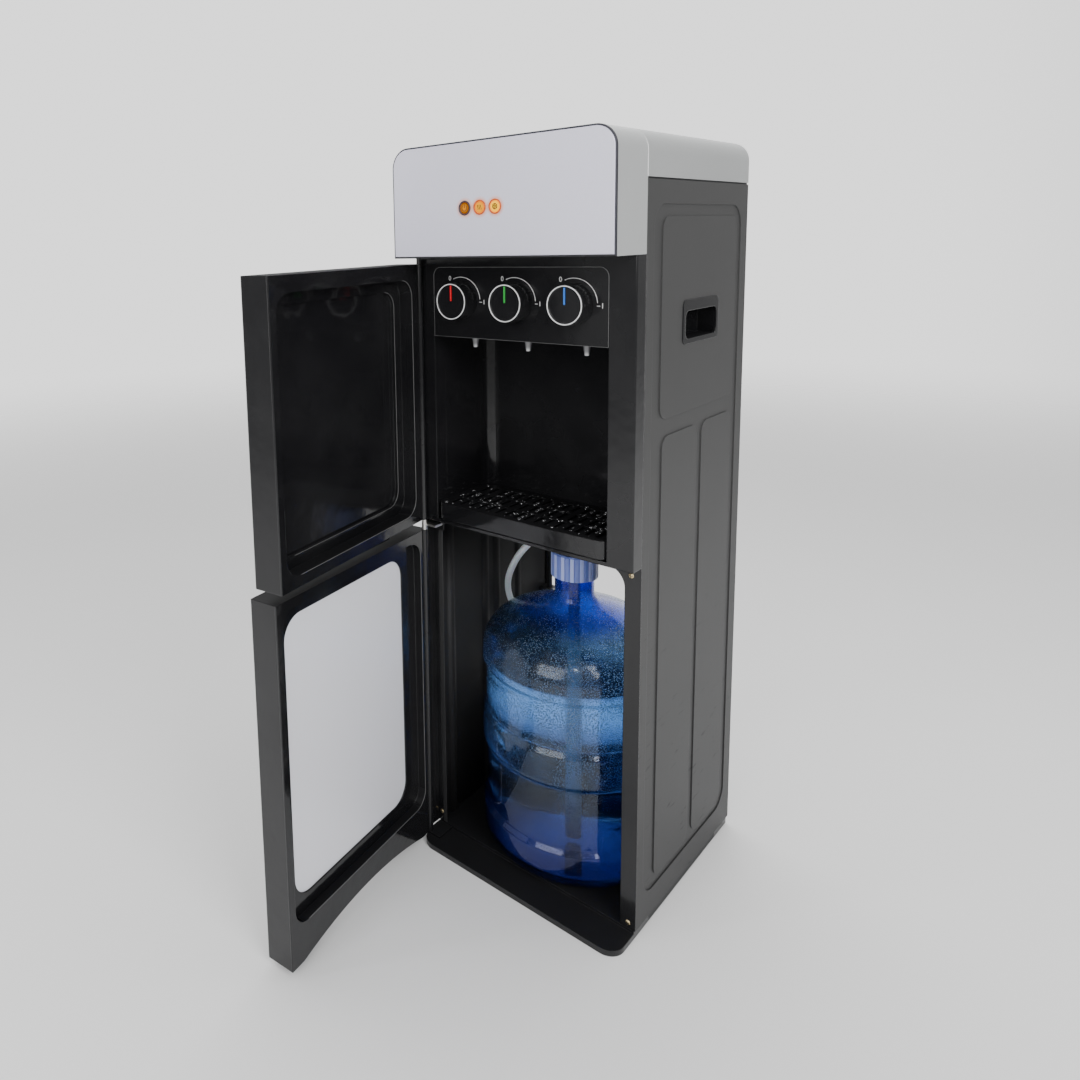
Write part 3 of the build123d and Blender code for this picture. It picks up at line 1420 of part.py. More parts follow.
def bottle_outline(inset, close_top):
    """Half of the bottle's outline from the middle of its base to the top of its neck."""
    points = [(0, inset), (base_radius, inset), (bottle_radius - inset, ring_heights[0] - ring_half)]
    bends = [foot_bend, side_bend]
    for index, ring in enumerate(ring_heights):
        last = index == len(ring_heights) - 1
        if index > 0:
            points.append((bottle_radius - inset, ring - ring_half))
            bends.append(ring_bend)
        if not last:
            points.append((bottle_radius - inset, ring + ring_half))
            points.append((waist_radius - inset, ring + ring_half + waist_run))
            points.append((waist_radius - inset, ring_heights[index + 1] - ring_half - waist_run))
            bends.extend([ring_bend, ring_bend, ring_bend])
    points.append((bottle_radius - inset, shoulder_start - inset))
    points.append((neck_radius - inset, shoulder_end - inset))
    bends.extend([shoulder_bend, neck_bend])
    points.append((neck_radius - inset, close_top))
    return points, bends


bottle_plane = Plane(origin=(bottle_x, bottle_y, bottle_base_z), x_dir=(1, 0, 0), z_dir=(0, -1, 0))
bottle_axis = Axis((bottle_x, bottle_y, 0), (0, 0, 1))
neck_height = neck_top_z - bottle_base_z
with BuildPart() as water_bottle:
    for inset, top, mode in ((0, neck_height, Mode.ADD), (bottle_wall, neck_height + 1, Mode.SUBTRACT)):
        outline_points, outline_bends = bottle_outline(inset, top)
        with BuildSketch(bottle_plane):
            with BuildLine():
                FilletPolyline(*outline_points, radius=outline_bends)
                Polyline(outline_points[-1], (0, top), outline_points[0])
            make_face()
        revolve(axis=bottle_axis, mode=mode)
water_bottle.part.label = "water_bottle"
export_step(water_bottle.part, "parts/water_bottle.step")

# ---- Bottle cap with its elbow ----
cap_ribs = 30
cap_rib = 1.0
neck_gap = 0.3
elbow_radius = 11.0
elbow_z = 463.0
barb_radius = 4.0
barb_reach = 25.0
cap_step = 2.0
cap_edge = 3.0
elbow_share = 0.7
hose_radius = 5.0
hose_start = (bottle_x - barb_reach, bottle_y, elbow_z)
with BuildPart() as bottle_cap:
    with BuildSketch(Plane.XY.offset(cap_bottom_z)):
        with Locations((bottle_x, bottle_y)):
            Circle(cap_radius)
            with PolarLocations(cap_radius, cap_ribs):
                RegularPolygon(cap_rib, 4, mode=Mode.SUBTRACT)
    extrude(amount=cap_top_z - cap_bottom_z - cap_step)
    with BuildSketch(Plane.XY.offset(cap_top_z - cap_step)):
        with Locations((bottle_x, bottle_y)):
            Circle(cap_radius - cap_rib)
    extrude(amount=cap_step)
    with BuildSketch(Plane.XY.offset(cap_bottom_z)):
        with Locations((bottle_x, bottle_y)):
            Circle(neck_radius + neck_gap)
    extrude(amount=neck_top_z + neck_gap - cap_bottom_z, mode=Mode.SUBTRACT)
    with BuildSketch(Plane.XY.offset(cap_top_z)):
        with Locations((bottle_x, bottle_y)):
            Circle(elbow_radius)
    extrude(amount=elbow_z + elbow_radius * elbow_share - cap_top_z)
    fillet(bottle_cap.edges().group_by(Axis.Z)[-1], cap_edge)
    with BuildSketch(Plane(origin=(bottle_x, bottle_y, elbow_z), x_dir=(0, 1, 0), z_dir=(-1, 0, 0))):
        Circle(barb_radius)
    extrude(amount=bottle_x - hose_start[0])
bottle_cap.part.label = "bottle_cap"
export_step(bottle_cap.part, "parts/bottle_cap.step")

# ---- Suction tube: from the cap to just above the bottle's base, slotted at its foot ----
tube_radius = 8.0
tube_bore = 6.0
tube_foot_gap = 8.0
tube_foot_z = bottle_base_z + bottle_wall + tube_foot_gap
with BuildPart() as suction_tube:
    with BuildSketch(Plane.XY.offset(tube_foot_z)):
        with Locations((bottle_x, bottle_y)):
            Circle(tube_radius)
            Circle(tube_bore, mode=Mode.SUBTRACT)
    extrude(amount=neck_top_z + neck_gap - tube_foot_z)
    with BuildSketch(Plane.XY.offset(tube_foot_z)):
        with Locations((bottle_x, bottle_y)):
            Rectangle(3 * tube_radius, tube_radius / 2)
    extrude(amount=tube_radius, mode=Mode.SUBTRACT)
suction_tube.part.label = "suction_tube"
export_step(suction_tube.part, "parts/suction_tube.step")

# ---- Hose: from the cap's elbow down in a loop at the bottle's left to the rear port ----
plug_radius = 6.5
plug_length = 16.0
plug_edge = 1.0
plug_end = 3.0
plug_front_y = port_front_y - fit_gap - plug_length
first_run = 26.0
last_run = 26.0
bend_share = 0.45
hose_points = [
    hose_start,
    (hose_start[0] - first_run, bottle_y, elbow_z),
    (port_x + 48.0, bottle_y + 7.0, elbow_z - 25.0),
    (port_x + 15.0, bottle_y + 19.0, elbow_z - 64.0),
    (port_x - 14.0, bottle_y + 39.0, port_z + 58.0),
    (port_x - 12.0, bottle_y + 55.0, port_z + 13.0),
    (port_x - 5.0, plug_front_y - 59.7, port_z - 6.0),
    (port_x, plug_front_y - last_run, port_z),
    (port_x, plug_front_y, port_z),
]


def bend_radii(points):
    """For each inner point of a route: bend_share of the shorter run over the tangent of half the turn."""
    radii = []
    for before, here, after in zip(points, points[1:], points[2:]):
        run_in = Vector(*here) - Vector(*before)
        run_out = Vector(*after) - Vector(*here)
        half_turn = radians(run_in.get_angle(run_out)) / 2
        radii.append(bend_share * min(run_in.length, run_out.length) / tan(half_turn))
    return radii


hose_radii = bend_radii(hose_points)
print("hose bend radii", [round(radius, 1) for radius in hose_radii])
with BuildPart() as suction_hose:
    with BuildLine() as hose_path:
        FilletPolyline(*hose_points, radius=hose_radii)
    with BuildSketch(Plane(origin=hose_points[0], z_dir=(-1, 0, 0))):
        Circle(hose_radius)
    sweep()
hose_length = hose_path.wire().length
print("hose length", round(hose_length, 1))
print("hose volume", round(suction_hose.part.volume), "against", round(hose_length * pi * hose_radius**2))
suction_hose.part.label = "suction_hose"
export_step(suction_hose.part, "parts/suction_hose.step")

with BuildPart() as hose_plug:
    with BuildSketch(facing_front(plug_front_y + plug_length)):
        with Locations((port_x, port_z)):
            Circle(plug_radius)
    extrude(amount=plug_length)
    chamfer(hose_plug.faces().sort_by(Axis.Y)[0].edges(), plug_edge)
    with BuildSketch(facing_front(plug_front_y + plug_length)):
        with Locations((port_x, port_z)):
            Circle(spigot_radius + fit_gap)
    extrude(amount=plug_length - plug_end, mode=Mode.SUBTRACT)
hose_plug.part.label = "hose_plug"
export_step(hose_plug.part, "parts/hose_plug.step")
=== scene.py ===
# %% [markdown]
# A bottom load water cooler is a tall steel cabinet with a tap niche behind an upper door and a
# bottle bay behind a lower one. Its solids come from the CAD model, already packed. This lesson
# gives them their finishes and adds the small things that only the eye needs: printed marks,
# lamp symbols, screws, the hose as a soft curve, the water and its drops. Lengths are metres,
# the origin lies on the floor under the middle of the cabinet, +X is right and +Y is the rear.

# %% Load the frame
import json
import math
import random
import bmesh
import bpy
from mathutils import Matrix, Vector


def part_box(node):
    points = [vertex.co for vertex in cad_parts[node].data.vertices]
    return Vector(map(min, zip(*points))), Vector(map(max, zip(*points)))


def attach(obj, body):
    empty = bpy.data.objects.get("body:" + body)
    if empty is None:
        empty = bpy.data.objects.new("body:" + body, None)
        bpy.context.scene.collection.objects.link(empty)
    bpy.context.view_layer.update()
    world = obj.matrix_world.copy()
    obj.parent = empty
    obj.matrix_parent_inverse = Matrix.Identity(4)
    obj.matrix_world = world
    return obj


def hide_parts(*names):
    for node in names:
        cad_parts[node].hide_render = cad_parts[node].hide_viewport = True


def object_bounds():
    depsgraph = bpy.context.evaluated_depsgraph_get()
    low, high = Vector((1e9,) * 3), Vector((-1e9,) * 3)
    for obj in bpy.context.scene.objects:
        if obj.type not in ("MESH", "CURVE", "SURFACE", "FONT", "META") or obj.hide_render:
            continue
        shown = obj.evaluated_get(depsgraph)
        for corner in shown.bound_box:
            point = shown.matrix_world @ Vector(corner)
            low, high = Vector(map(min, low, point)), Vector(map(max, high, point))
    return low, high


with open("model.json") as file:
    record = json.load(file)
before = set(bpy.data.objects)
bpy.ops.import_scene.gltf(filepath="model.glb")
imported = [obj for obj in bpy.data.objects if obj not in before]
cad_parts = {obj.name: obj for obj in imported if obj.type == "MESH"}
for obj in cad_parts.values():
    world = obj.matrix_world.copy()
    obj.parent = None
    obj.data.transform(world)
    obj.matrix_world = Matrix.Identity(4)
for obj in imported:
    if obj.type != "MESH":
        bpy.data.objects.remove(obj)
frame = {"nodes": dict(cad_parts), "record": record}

solid_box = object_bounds()

# %% [markdown]
# The camera stands to the right of the open doors at chest height, looking a little down. Its
# place, turn and lens were solved from the cabinet's straight edges, so the render lies over the
# photograph. A small shift keeps the cabinet's uprights where the photograph has them.

# %% Camera
eye = Vector((0.60345, -1.07167, 0.89731))
yaw = 0.78607
pitch = 0.14089
roll = -0.03234
lens = 28.148
frame_shift = (0.17436, -0.16518)

back = Vector((math.sin(yaw) * math.cos(pitch), -math.cos(yaw) * math.cos(pitch), math.sin(pitch)))
level = Vector((0, 0, 1)).cross(back).normalized()
upright = back.cross(level)
right = level * math.cos(roll) + upright * math.sin(roll)
up = upright * math.cos(roll) - level * math.sin(roll)

camera = bpy.data.objects.new("camera", bpy.data.cameras.new("camera"))
bpy.context.scene.collection.objects.link(camera)
camera.matrix_world = Matrix.Translation(eye) @ Matrix((right, up, back)).transposed().to_4x4()
camera.data.lens = lens
camera.data.shift_x, camera.data.shift_y = frame_shift
bpy.context.scene.camera = camera
print("camera at", [round(value, 3) for value in eye])

# %% [markdown]
# The suction hose is limp and milky. It leaves the elbow on the bottle's cap, loops down behind
# the bottle's left shoulder and ends in a push-on plug at the rear of the bay. A NURBS spline
# with a few listed control points bends evenly, as a real hose does.

# %% Suction hose
hose_route = [
    (-0.022, -0.033, 0.463), (-0.048, -0.033, 0.463), (-0.080, -0.026, 0.438),
    (-0.113, -0.014, 0.399), (-0.142, 0.006, 0.348), (-0.140, 0.022, 0.303),
    (-0.133, 0.050, 0.284), (-0.128, 0.0837, 0.290), (-0.128, 0.1097, 0.290),
]
hose_bore = 0.010

hose_curve = bpy.data.curves.new("suction_hose_line", "CURVE")
hose_curve.dimensions = "3D"
hose_curve.bevel_depth = 1.0
hose_curve.bevel_resolution = 6
hose_curve.resolution_u = 16
hose_curve.use_fill_caps = True
spline = hose_curve.splines.new("NURBS")
spline.points.add(len(hose_route) - 1)
for point, place in zip(spline.points, hose_route):
    point.co = (*place, 1.0)
    point.radius = hose_bore / 2
spline.order_u = 3
spline.use_endpoint_u = True

hose = bpy.data.objects.new("suction_hose_line", hose_curve)
bpy.context.scene.collection.objects.link(hose)
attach(hose, "bottle")
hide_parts("suction_hose")

# %% [markdown]
# A finish is a small graph of nodes. Written as node calls and links it is hard to read, so one
# class wraps a socket: arithmetic on it adds Math nodes, and the finish around it makes every
# other node through one method. Colours are blended with Mix, and points go through Vector Math.

# %% Sockets as numbers
class Value:
    """One output socket of a finish, on which Python's operators add Math nodes."""

    def __init__(self, finish, socket):
        self.finish = finish
        self.socket = socket

    def math(self, operation, *others):
        inputs = dict(enumerate((self, *others)))
        return self.finish.node("ShaderNodeMath", {"operation": operation}, inputs)

    def __add__(self, other):
        return self.math("ADD", other)

    def __radd__(self, other):
        return self.math("ADD", other)

    def __sub__(self, other):
        return self.math("SUBTRACT", other)

    def __rsub__(self, other):
        return self.finish.node("ShaderNodeMath", {"operation": "SUBTRACT"}, {0: other, 1: self})

    def __mul__(self, other):
        return self.math("MULTIPLY", other)

    def __rmul__(self, other):
        return self.math("MULTIPLY", other)

    def fade(self, start, end):
        """0 at start and 1 at end, smooth between them and level outside."""
        return self.finish.node(
            "ShaderNodeMapRange", {"interpolation_type": "SMOOTHSTEP"},
            {"Value": self, "From Min": start, "From Max": end},
        )


class Finish:
    """One material: a Principled shader and the nodes that feed it."""

    def __init__(self, name, **constants):
        self.material = bpy.data.materials.new(name)
        self.material.use_nodes = True
        self.tree = self.material.node_tree
        self.shader = self.tree.nodes["Principled BSDF"]
        for socket, value in constants.items():
            self.shader.inputs[socket.replace("_", " ")].default_value = value

    def node(self, kind, settings=None, inputs=None, output=0):
        made = self.tree.nodes.new(kind)
        for key, value in (settings or {}).items():
            setattr(made, key, value)
        for key, value in (inputs or {}).items():
            if isinstance(value, Value):
                self.tree.links.new(value.socket, made.inputs[key])
            else:
                made.inputs[key].default_value = value
        return Value(self, made.outputs[output])

    def place(self):
        """The point being shaded, in metres in the frame of the cooler."""
        return self.node("ShaderNodeTexCoord", output="Object")

    def facing(self):
        """The direction that the surface faces."""
        return self.node("ShaderNodeNewGeometry", output="Normal")

    def axis(self, name):
        return self.node("ShaderNodeSeparateXYZ", {}, {0: self.place()}, name)

    def vectors(self, operation, first, second, output=0):
        return self.node("ShaderNodeVectorMath", {"operation": operation}, {0: first, 1: second}, output)

    def stretched(self, factors):
        return self.vectors("MULTIPLY", self.place(), factors)

    def distance(self, point):
        """How far the point being shaded lies from this one."""
        return self.vectors("DISTANCE", self.place(), tuple(point), 1)

    def towards(self, direction):
        """1 where the surface faces this way, 0 where it lies along it."""
        return self.vectors("DOT_PRODUCT", self.facing(), direction, 1)

    def clouds(self, per_metre, detail=2.0, points=None):
        """Soft noise from 0 to 1, with this many features in a metre."""
        inputs = {"Vector": points or self.place(), "Scale": per_metre, "Detail": detail}
        return self.node("ShaderNodeTexNoise", {}, inputs)

    def grains(self, per_metre):
        """Distance from the middle of the nearest scattered grain."""
        inputs = {"Vector": self.place(), "Scale": per_metre}
        return self.node("ShaderNodeTexVoronoi", {"feature": "F1"}, inputs)

    def blend(self, amount, first, second):
        """A colour between two, first at 0 and second at 1."""
        made = self.tree.nodes.new("ShaderNodeMix")
        made.data_type = "RGBA"
        for socket, value in ((made.inputs[0], amount), (made.inputs[6], first), (made.inputs[7], second)):
            if isinstance(value, Value):
                self.tree.links.new(value.socket, socket)
            else:
                socket.default_value = value
        return Value(self, made.outputs[2])

    def set(self, socket, value):
        self.tree.links.new(value.socket, self.shader.inputs[socket])

    def dull(self, amount, colour):
        """Where amount nears 1, a dull surface of this colour takes the place of the gloss."""
        matt = self.node("ShaderNodeBsdfDiffuse", {}, {"Color": colour})
        inputs = {0: amount, 1: Value(self, self.shader.outputs[0]), 2: matt}
        mixed = self.node("ShaderNodeMixShader", {}, inputs)
        self.tree.links.new(mixed.socket, self.tree.nodes["Material Output"].inputs["Surface"])

    def relief(self, height, depth, edge=0.0):
        """Bumps of this height in metres where the value goes from 0 to 1, and edges this round."""
        inputs = {"Height": height, "Distance": depth}
        if edge:
            inputs["Normal"] = self.node("ShaderNodeBevel", {"samples": 6}, {"Radius": edge})
        self.set("Normal", self.node("ShaderNodeBump", {}, inputs))

    def made(self, colour, rough):
        """Gives the material, with this colour and roughness."""
        self.set("Base Color", colour)
        self.set("Roughness", rough)
        return self.material


def tone(red, green, blue):
    return (red, green, blue, 1.0)


def darker(colour, share):
    return tone(*(channel * share for channel in colour[:3]))


print("finish helpers ready")

# %% [markdown]
# Black gloss plastic covers the doors, the front frame and the tray. Fresh mouldings are almost
# black, but wiping leaves them unevenly glossy, and a mould's surface waves very slightly, which
# bends the reflections. A little noise in roughness and a shallow bump give both. Faces that look
# up are duller, because dust settles there.

# %% Black plastics
def gloss_black():
    finish = Finish("black_gloss_plastic", IOR=1.5, Specular_IOR_Level=0.42)
    smear = finish.clouds(9.0, 4.0)
    dust = finish.grains(260.0).fade(0.10, 0.02)
    shade = finish.blend(smear.fade(0.35, 0.75), tone(0.008, 0.008, 0.009), tone(0.014, 0.014, 0.015))
    upward = finish.node("ShaderNodeSeparateXYZ", {}, {0: finish.facing()}, "Z").fade(0.85, 0.97)
    finish.dull(upward * 0.75, tone(0.012, 0.012, 0.013))
    finish.relief(finish.clouds(55.0, 1.0), 0.00025, edge=0.0014)
    colour = finish.blend(dust * 0.25, shade, tone(0.09, 0.09, 0.095))
    return finish.made(colour, 0.09 + smear.fade(0.3, 0.8) * 0.10 + dust * 0.15 + upward * 0.25)


def grained_black():
    finish = Finish("black_grained_plastic", IOR=1.5, Specular_IOR_Level=0.4)
    grain = finish.grains(1100.0)
    haze = finish.clouds(14.0, 3.0)
    finish.relief(grain, 0.00018, edge=0.0010)
    colour = finish.blend(haze, tone(0.014, 0.014, 0.015), tone(0.024, 0.024, 0.026))
    return finish.made(colour, 0.42 + haze * 0.12 + grain * 0.1)


black_gloss = gloss_black()
black_matte = grained_black()
print("black plastics", black_gloss.name, black_matte.name)

# %% [markdown]
# The hood, the cover and the front plate are painted silver. Metallic paint holds fine flakes, so
# it isn't even: it sparkles at a distance of a hand and has soft clouds at a distance of a room.
# Two scales of noise do that. The front plate's colour also has a painted amber glow round the
# three lamps, standing in for their light.

# %% Silver paint
lamp_nodes = ["lamp_power", "lamp_hot", "lamp_cold"]
lamp_centres = [(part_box(node)[0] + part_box(node)[1]) / 2 for node in lamp_nodes]
lamp_radius = (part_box(lamp_nodes[0])[1].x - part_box(lamp_nodes[0])[0].x) / 2
glow_reach = 0.006


def flake_paint(name, dark, light, glow=False):
    finish = Finish(name, Metallic=0.28, IOR=1.45, Specular_IOR_Level=0.4)
    flake = finish.clouds(3200.0, 1.0)
    drift = finish.clouds(5.0, 2.0)
    shade = finish.blend(flake.fade(0.3, 0.7) * 0.55 + drift * 0.45, dark, light)
    finish.relief(flake, 0.00004)
    if glow:
        # Painted light: within glow_reach of each lamp the plate's colour turns amber.
        painted_lamp_glow = 0.0
        for centre in lamp_centres:
            painted_lamp_glow = finish.distance(centre).fade(lamp_radius + glow_reach, lamp_radius) + painted_lamp_glow
        shade = finish.blend(painted_lamp_glow * 0.6, shade, tone(0.95, 0.30, 0.08))
    return finish.made(shade, 0.34 + flake * 0.12)


hood_silver = flake_paint("hood_silver_paint", tone(0.42, 0.43, 0.43), tone(0.56, 0.57, 0.57))
cover_silver = flake_paint("cover_silver_paint", tone(0.37, 0.38, 0.38), tone(0.50, 0.51, 0.51))
fascia_silver = flake_paint("front_plate_paint", tone(0.68, 0.67, 0.79), tone(0.82, 0.81, 0.93), glow=True)
print("lamps at", [round(centre.x, 4) for centre in lamp_centres], "radius", round(lamp_radius, 4))

# %% [markdown]
# The cabinet's sides are pressed steel with a dark powder coat. The coat has a fine, soft texture.
# Its colour is darker towards the floor, and it is rougher there in scuffs from shoes and mops.

# %% Coated steel
cabinet_top = solid_box[1][2]


def powder_coat():
    finish = Finish("dark_powder_coat", IOR=1.5, Specular_IOR_Level=0.35)
    texture = finish.clouds(1500.0, 2.0)
    cloud = finish.clouds(6.0, 3.0)
    height = finish.axis("Z").fade(0.0, cabinet_top * 0.7)
    scuff = finish.clouds(1.0, 5.0, finish.stretched((30.0, 30.0, 160.0))).fade(0.62, 0.78)
    # The colour is darker towards the floor, and lightest from seven tenths of the height up.
    shade = finish.blend(height, tone(0.017, 0.017, 0.018), tone(0.045, 0.045, 0.045))
    finish.relief(texture, 0.00006, edge=0.0010)
    colour = finish.blend(cloud * 0.35, shade, tone(0.060, 0.060, 0.060))
    return finish.made(colour, 0.40 + texture * 0.12 + scuff * (1 - height) * 0.2)


side_steel = powder_coat()
print("coat", side_steel.name, "fades up to", round(cabinet_top * 0.7, 3))

# %% [markdown]
# Bare metals are brushed: fine streaks run one way, so the noise is squeezed along one axis. The
# tank is stainless, the heat sink aluminium and the screws zinc or steel. The middle hinge's arm is
# bright steel that shows at the door's edge, and its plate is coated black.

# %% Bare metals
def brushed(name, colour, streaks, rough):
    finish = Finish(name, Metallic=1.0)
    streak = finish.clouds(1.0, 3.0, finish.stretched(streaks))
    stain = finish.clouds(30.0, 3.0)
    dull = darker(colour, 0.72)
    finish.relief(streak, 0.00003)
    return finish.made(finish.blend(stain * 0.6 + streak * 0.3, colour, dull), rough + streak * 0.18)


across = (60.0, 2500.0, 2500.0)
around = (2500.0, 2500.0, 60.0)
plain_steel = brushed("hinge_steel", tone(0.62, 0.61, 0.59), across, 0.22)
tank_steel = brushed("tank_stainless", tone(0.66, 0.66, 0.65), around, 0.18)
sink_aluminium = brushed("sink_aluminium", tone(0.74, 0.74, 0.75), across, 0.34)
screw_zinc = brushed("screw_zinc", tone(0.72, 0.58, 0.33), around, 0.25)
bare_up_to = -0.163
coated_from = -0.160


def half_coated_steel():
    finish = Finish("half_coated_steel", IOR=1.5)
    coat = finish.axis("Y").fade(bare_up_to, coated_from)
    streak = finish.clouds(1.0, 3.0, finish.stretched(across))
    metal = finish.blend(streak, tone(0.52, 0.51, 0.49), tone(0.66, 0.65, 0.62))
    finish.set("Metallic", 1 - coat)
    return finish.made(finish.blend(coat, metal, tone(0.010, 0.010, 0.011)), 0.25 + streak * 0.15)


half_coated = half_coated_steel()
print("metals", 5)

# %% [markdown]
# The lower door carries a pale silver panel. It is plastic sheet with a fine satin face. Its colour is
# a little lighter towards its top, a painted reflection of the room, which shows more there.

# %% Silver panel
panel_low, panel_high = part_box("lower_door_window")


def satin_panel():
    finish = Finish("silver_panel", Metallic=0.15, IOR=1.46, Specular_IOR_Level=0.45)
    # Painted reflection: the colour lightens towards the panel's top.
    rise = finish.axis("Z").fade(panel_low.z, panel_high.z)
    mist = finish.clouds(7.0, 2.0)
    grain = finish.clouds(2600.0, 1.0)
    shade = finish.blend(rise, tone(0.88, 0.88, 0.94), tone(0.93, 0.93, 0.98))
    finish.relief(grain, 0.00003)
    colour = finish.blend(mist * 0.25, shade, tone(0.95, 0.95, 0.99))
    return finish.made(colour, 0.30 + grain * 0.08 + mist * 0.06)


window_silver = satin_panel()
print("panel height", round(panel_high.z - panel_low.z, 3))

# %% [markdown]
# The bottle is clear blue polycarbonate. Cold water makes the room's moisture settle on its upper
# half as thousands of tiny beads. Beads are a cell pattern: the height above a cell's edge makes a
# dome in the bump, and the beads are a little lighter than the wall between them. The collar under
# the neck is thick and so deep blue, and the foot is darker than the wall.

# %% Clear blue bottle
bottle_low, bottle_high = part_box("water_bottle")
bottle_axis = Vector(((bottle_low.x + bottle_high.x) / 2, (bottle_low.y + bottle_high.y) / 2, 0))
beads_start = bottle_low.z + 0.14
beads_full = bottle_low.z + 0.27
collar_start = bottle_low.z + 0.335
collar_full = bottle_low.z + 0.352
foot_start = bottle_low.z + 0.20
foot_full = bottle_low.z + 0.03


def blue_bottle():
    finish = Finish("blue_polycarbonate", IOR=1.45, Transmission_Weight=1.0)
    height = finish.axis("Z")
    wet = height.fade(beads_start, beads_full)
    patch = finish.clouds(26.0, 3.0).fade(0.35, 0.6)
    bead = finish.grains(420.0).fade(0.42, 0.16)
    beads = bead * (wet * 0.75 + 0.25) * (patch * 0.6 + 0.4)
    deep = height.fade(collar_start, collar_full)
    foot = height.fade(foot_start, foot_full)
    wall = finish.blend(foot, tone(0.46, 0.67, 0.92), tone(0.11, 0.15, 0.38))
    wall = finish.blend(deep, wall, tone(0.05, 0.11, 0.72))
    finish.relief(beads, 0.0005)
    colour = finish.blend(beads * wet * 0.45, wall, tone(0.78, 0.88, 0.97))
    return finish.made(colour, 0.03 + beads * 0.22 + wet * 0.10)


def still_water():
    finish = Finish("still_water", IOR=1.33, Transmission_Weight=1.0)
    drift = finish.clouds(8.0, 1.0)
    foot = finish.axis("Z").fade(foot_start, foot_full)
    clear = finish.blend(drift, tone(0.60, 0.77, 0.95), tone(0.50, 0.69, 0.92))
    return finish.made(finish.blend(foot, clear, tone(0.13, 0.17, 0.38)), drift * 0.02)


bottle_blue = blue_bottle()
water_clear = still_water()
print("beads from", round(beads_start, 3), "to", round(beads_full, 3))

# %% [markdown]
# The cap is ribbed periwinkle plastic. Light reaches the ribs' crests and not the grooves, so the
# colour follows the distance from the bottle's axis and the angle round it. The hose and the tube
# are milky, and the nozzles smoky with a painted highlight on the tip.

# %% Cap and hose
cap_low, cap_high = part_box("bottle_cap")
cap_radius = (cap_high.y - cap_low.y) / 2
groove_depth = 0.0015
cap_ribs = 30


def ribbed_cap():
    finish = Finish("periwinkle_cap", IOR=1.5, Subsurface_Weight=0.12)
    across_x = finish.axis("X") - bottle_axis.x
    across_y = finish.axis("Y") - bottle_axis.y
    reach = (across_x * across_x + across_y * across_y).math("SQRT")
    crest = reach.fade(cap_radius - groove_depth, cap_radius)
    stripe = (across_y.math("ARCTAN2", across_x) * (cap_ribs / 2)).math("SINE").fade(-0.3, 0.7)
    mottle = finish.clouds(90.0, 2.0)
    shade = finish.blend(crest * (stripe * 0.75 + 0.25), tone(0.04, 0.09, 0.46), tone(0.46, 0.53, 0.93))
    finish.relief(mottle, 0.0001)
    return finish.made(finish.blend(mottle * 0.25, shade, tone(0.36, 0.45, 0.88)), 0.28 + mottle * 0.12)


def milky(name, pale, tint, clear):
    finish = Finish(name, IOR=1.42, Transmission_Weight=clear, Subsurface_Weight=0.2)
    haze = finish.clouds(60.0, 3.0)
    finish.relief(finish.clouds(700.0, 1.0), 0.00004)
    return finish.made(finish.blend(haze, pale, tint), 0.22 + haze * 0.15)


cap_blue = ribbed_cap()
hose_milky = milky("milky_hose", tone(0.90, 0.95, 0.99), tone(0.80, 0.88, 0.95), 0.0)
tube_milky = milky("milky_tube", tone(0.90, 0.96, 0.99), tone(0.82, 0.92, 0.97), 0.2)
nozzle_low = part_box("nozzle_cold")[0]
nozzle_highlight_top = nozzle_low.z + 0.006
nozzle_highlight_facing = (0.42, -0.90, 0.10)


def smoky_nozzle():
    """Smoky clear plastic, darkest at the top, with a painted highlight in the middle of its tip."""
    finish = Finish("smoky_nozzle", IOR=1.45, Transmission_Weight=0.2)
    haze = finish.clouds(60.0, 3.0)
    tip = finish.axis("Z").fade(nozzle_highlight_top, nozzle_low.z)
    # Painted highlight: faces turned to the front near the tip go towards near white.
    middle = finish.towards(nozzle_highlight_facing).fade(0.55, 0.92) * (tip * 0.75 + 0.25)
    smoke = finish.blend(haze, tone(0.10, 0.10, 0.11), tone(0.16, 0.16, 0.17))
    finish.relief(finish.clouds(700.0, 1.0), 0.00004)
    return finish.made(finish.blend(middle, smoke, tone(0.92, 0.92, 0.93)), 0.16 + haze * 0.15)


nozzle_clear = smoky_nozzle()
print("cap radius", round(cap_radius, 4))

# %% [markdown]
# Inside the cabinet sit white valves and a foam jacket on the cold tank, and a pair of black
# rockers is at the rear. The front hides them, but each has the finish that it would have.

# %% Inner plastics
def moulded(name, colour, worn, rough, grain_size):
    finish = Finish(name, IOR=1.48)
    haze = finish.clouds(18.0, 3.0)
    grain = finish.clouds(grain_size, 2.0)
    finish.relief(grain, 0.00008)
    return finish.made(finish.blend(haze * 0.7 + grain * 0.2, colour, worn), rough + grain * 0.12)


valve_white = moulded("valve_white", tone(0.80, 0.80, 0.79), tone(0.70, 0.70, 0.67), 0.38, 800.0)
foam_cream = moulded("foam_cream", tone(0.80, 0.78, 0.68), tone(0.66, 0.62, 0.50), 0.80, 260.0)
switch_black = moulded("rocker_black", tone(0.012, 0.012, 0.013), tone(0.03, 0.03, 0.03), 0.22, 900.0)
print("inner plastics", 3)

# %% [markdown]
# Each lamp is a round amber lens, lit from behind. It is brightest in the middle and orange at
# its rim, so its colour follows the distance from the lamp's own centre.

# %% Lamp lenses
def amber_lens(name, centre, heart, rim, strength):
    finish = Finish(name, Emission_Strength=strength, IOR=1.5, Specular_IOR_Level=0.08)
    edge = finish.distance(centre).fade(lamp_radius * 0.35, lamp_radius * 0.98)
    flicker = finish.clouds(900.0, 2.0)
    finish.set("Emission Color", finish.blend(edge, heart, rim))
    unlit = finish.blend(flicker * 0.4, tone(0.030, 0.008, 0.0), tone(0.06, 0.02, 0.0))
    return finish.made(unlit, 0.18 + flicker * 0.1)


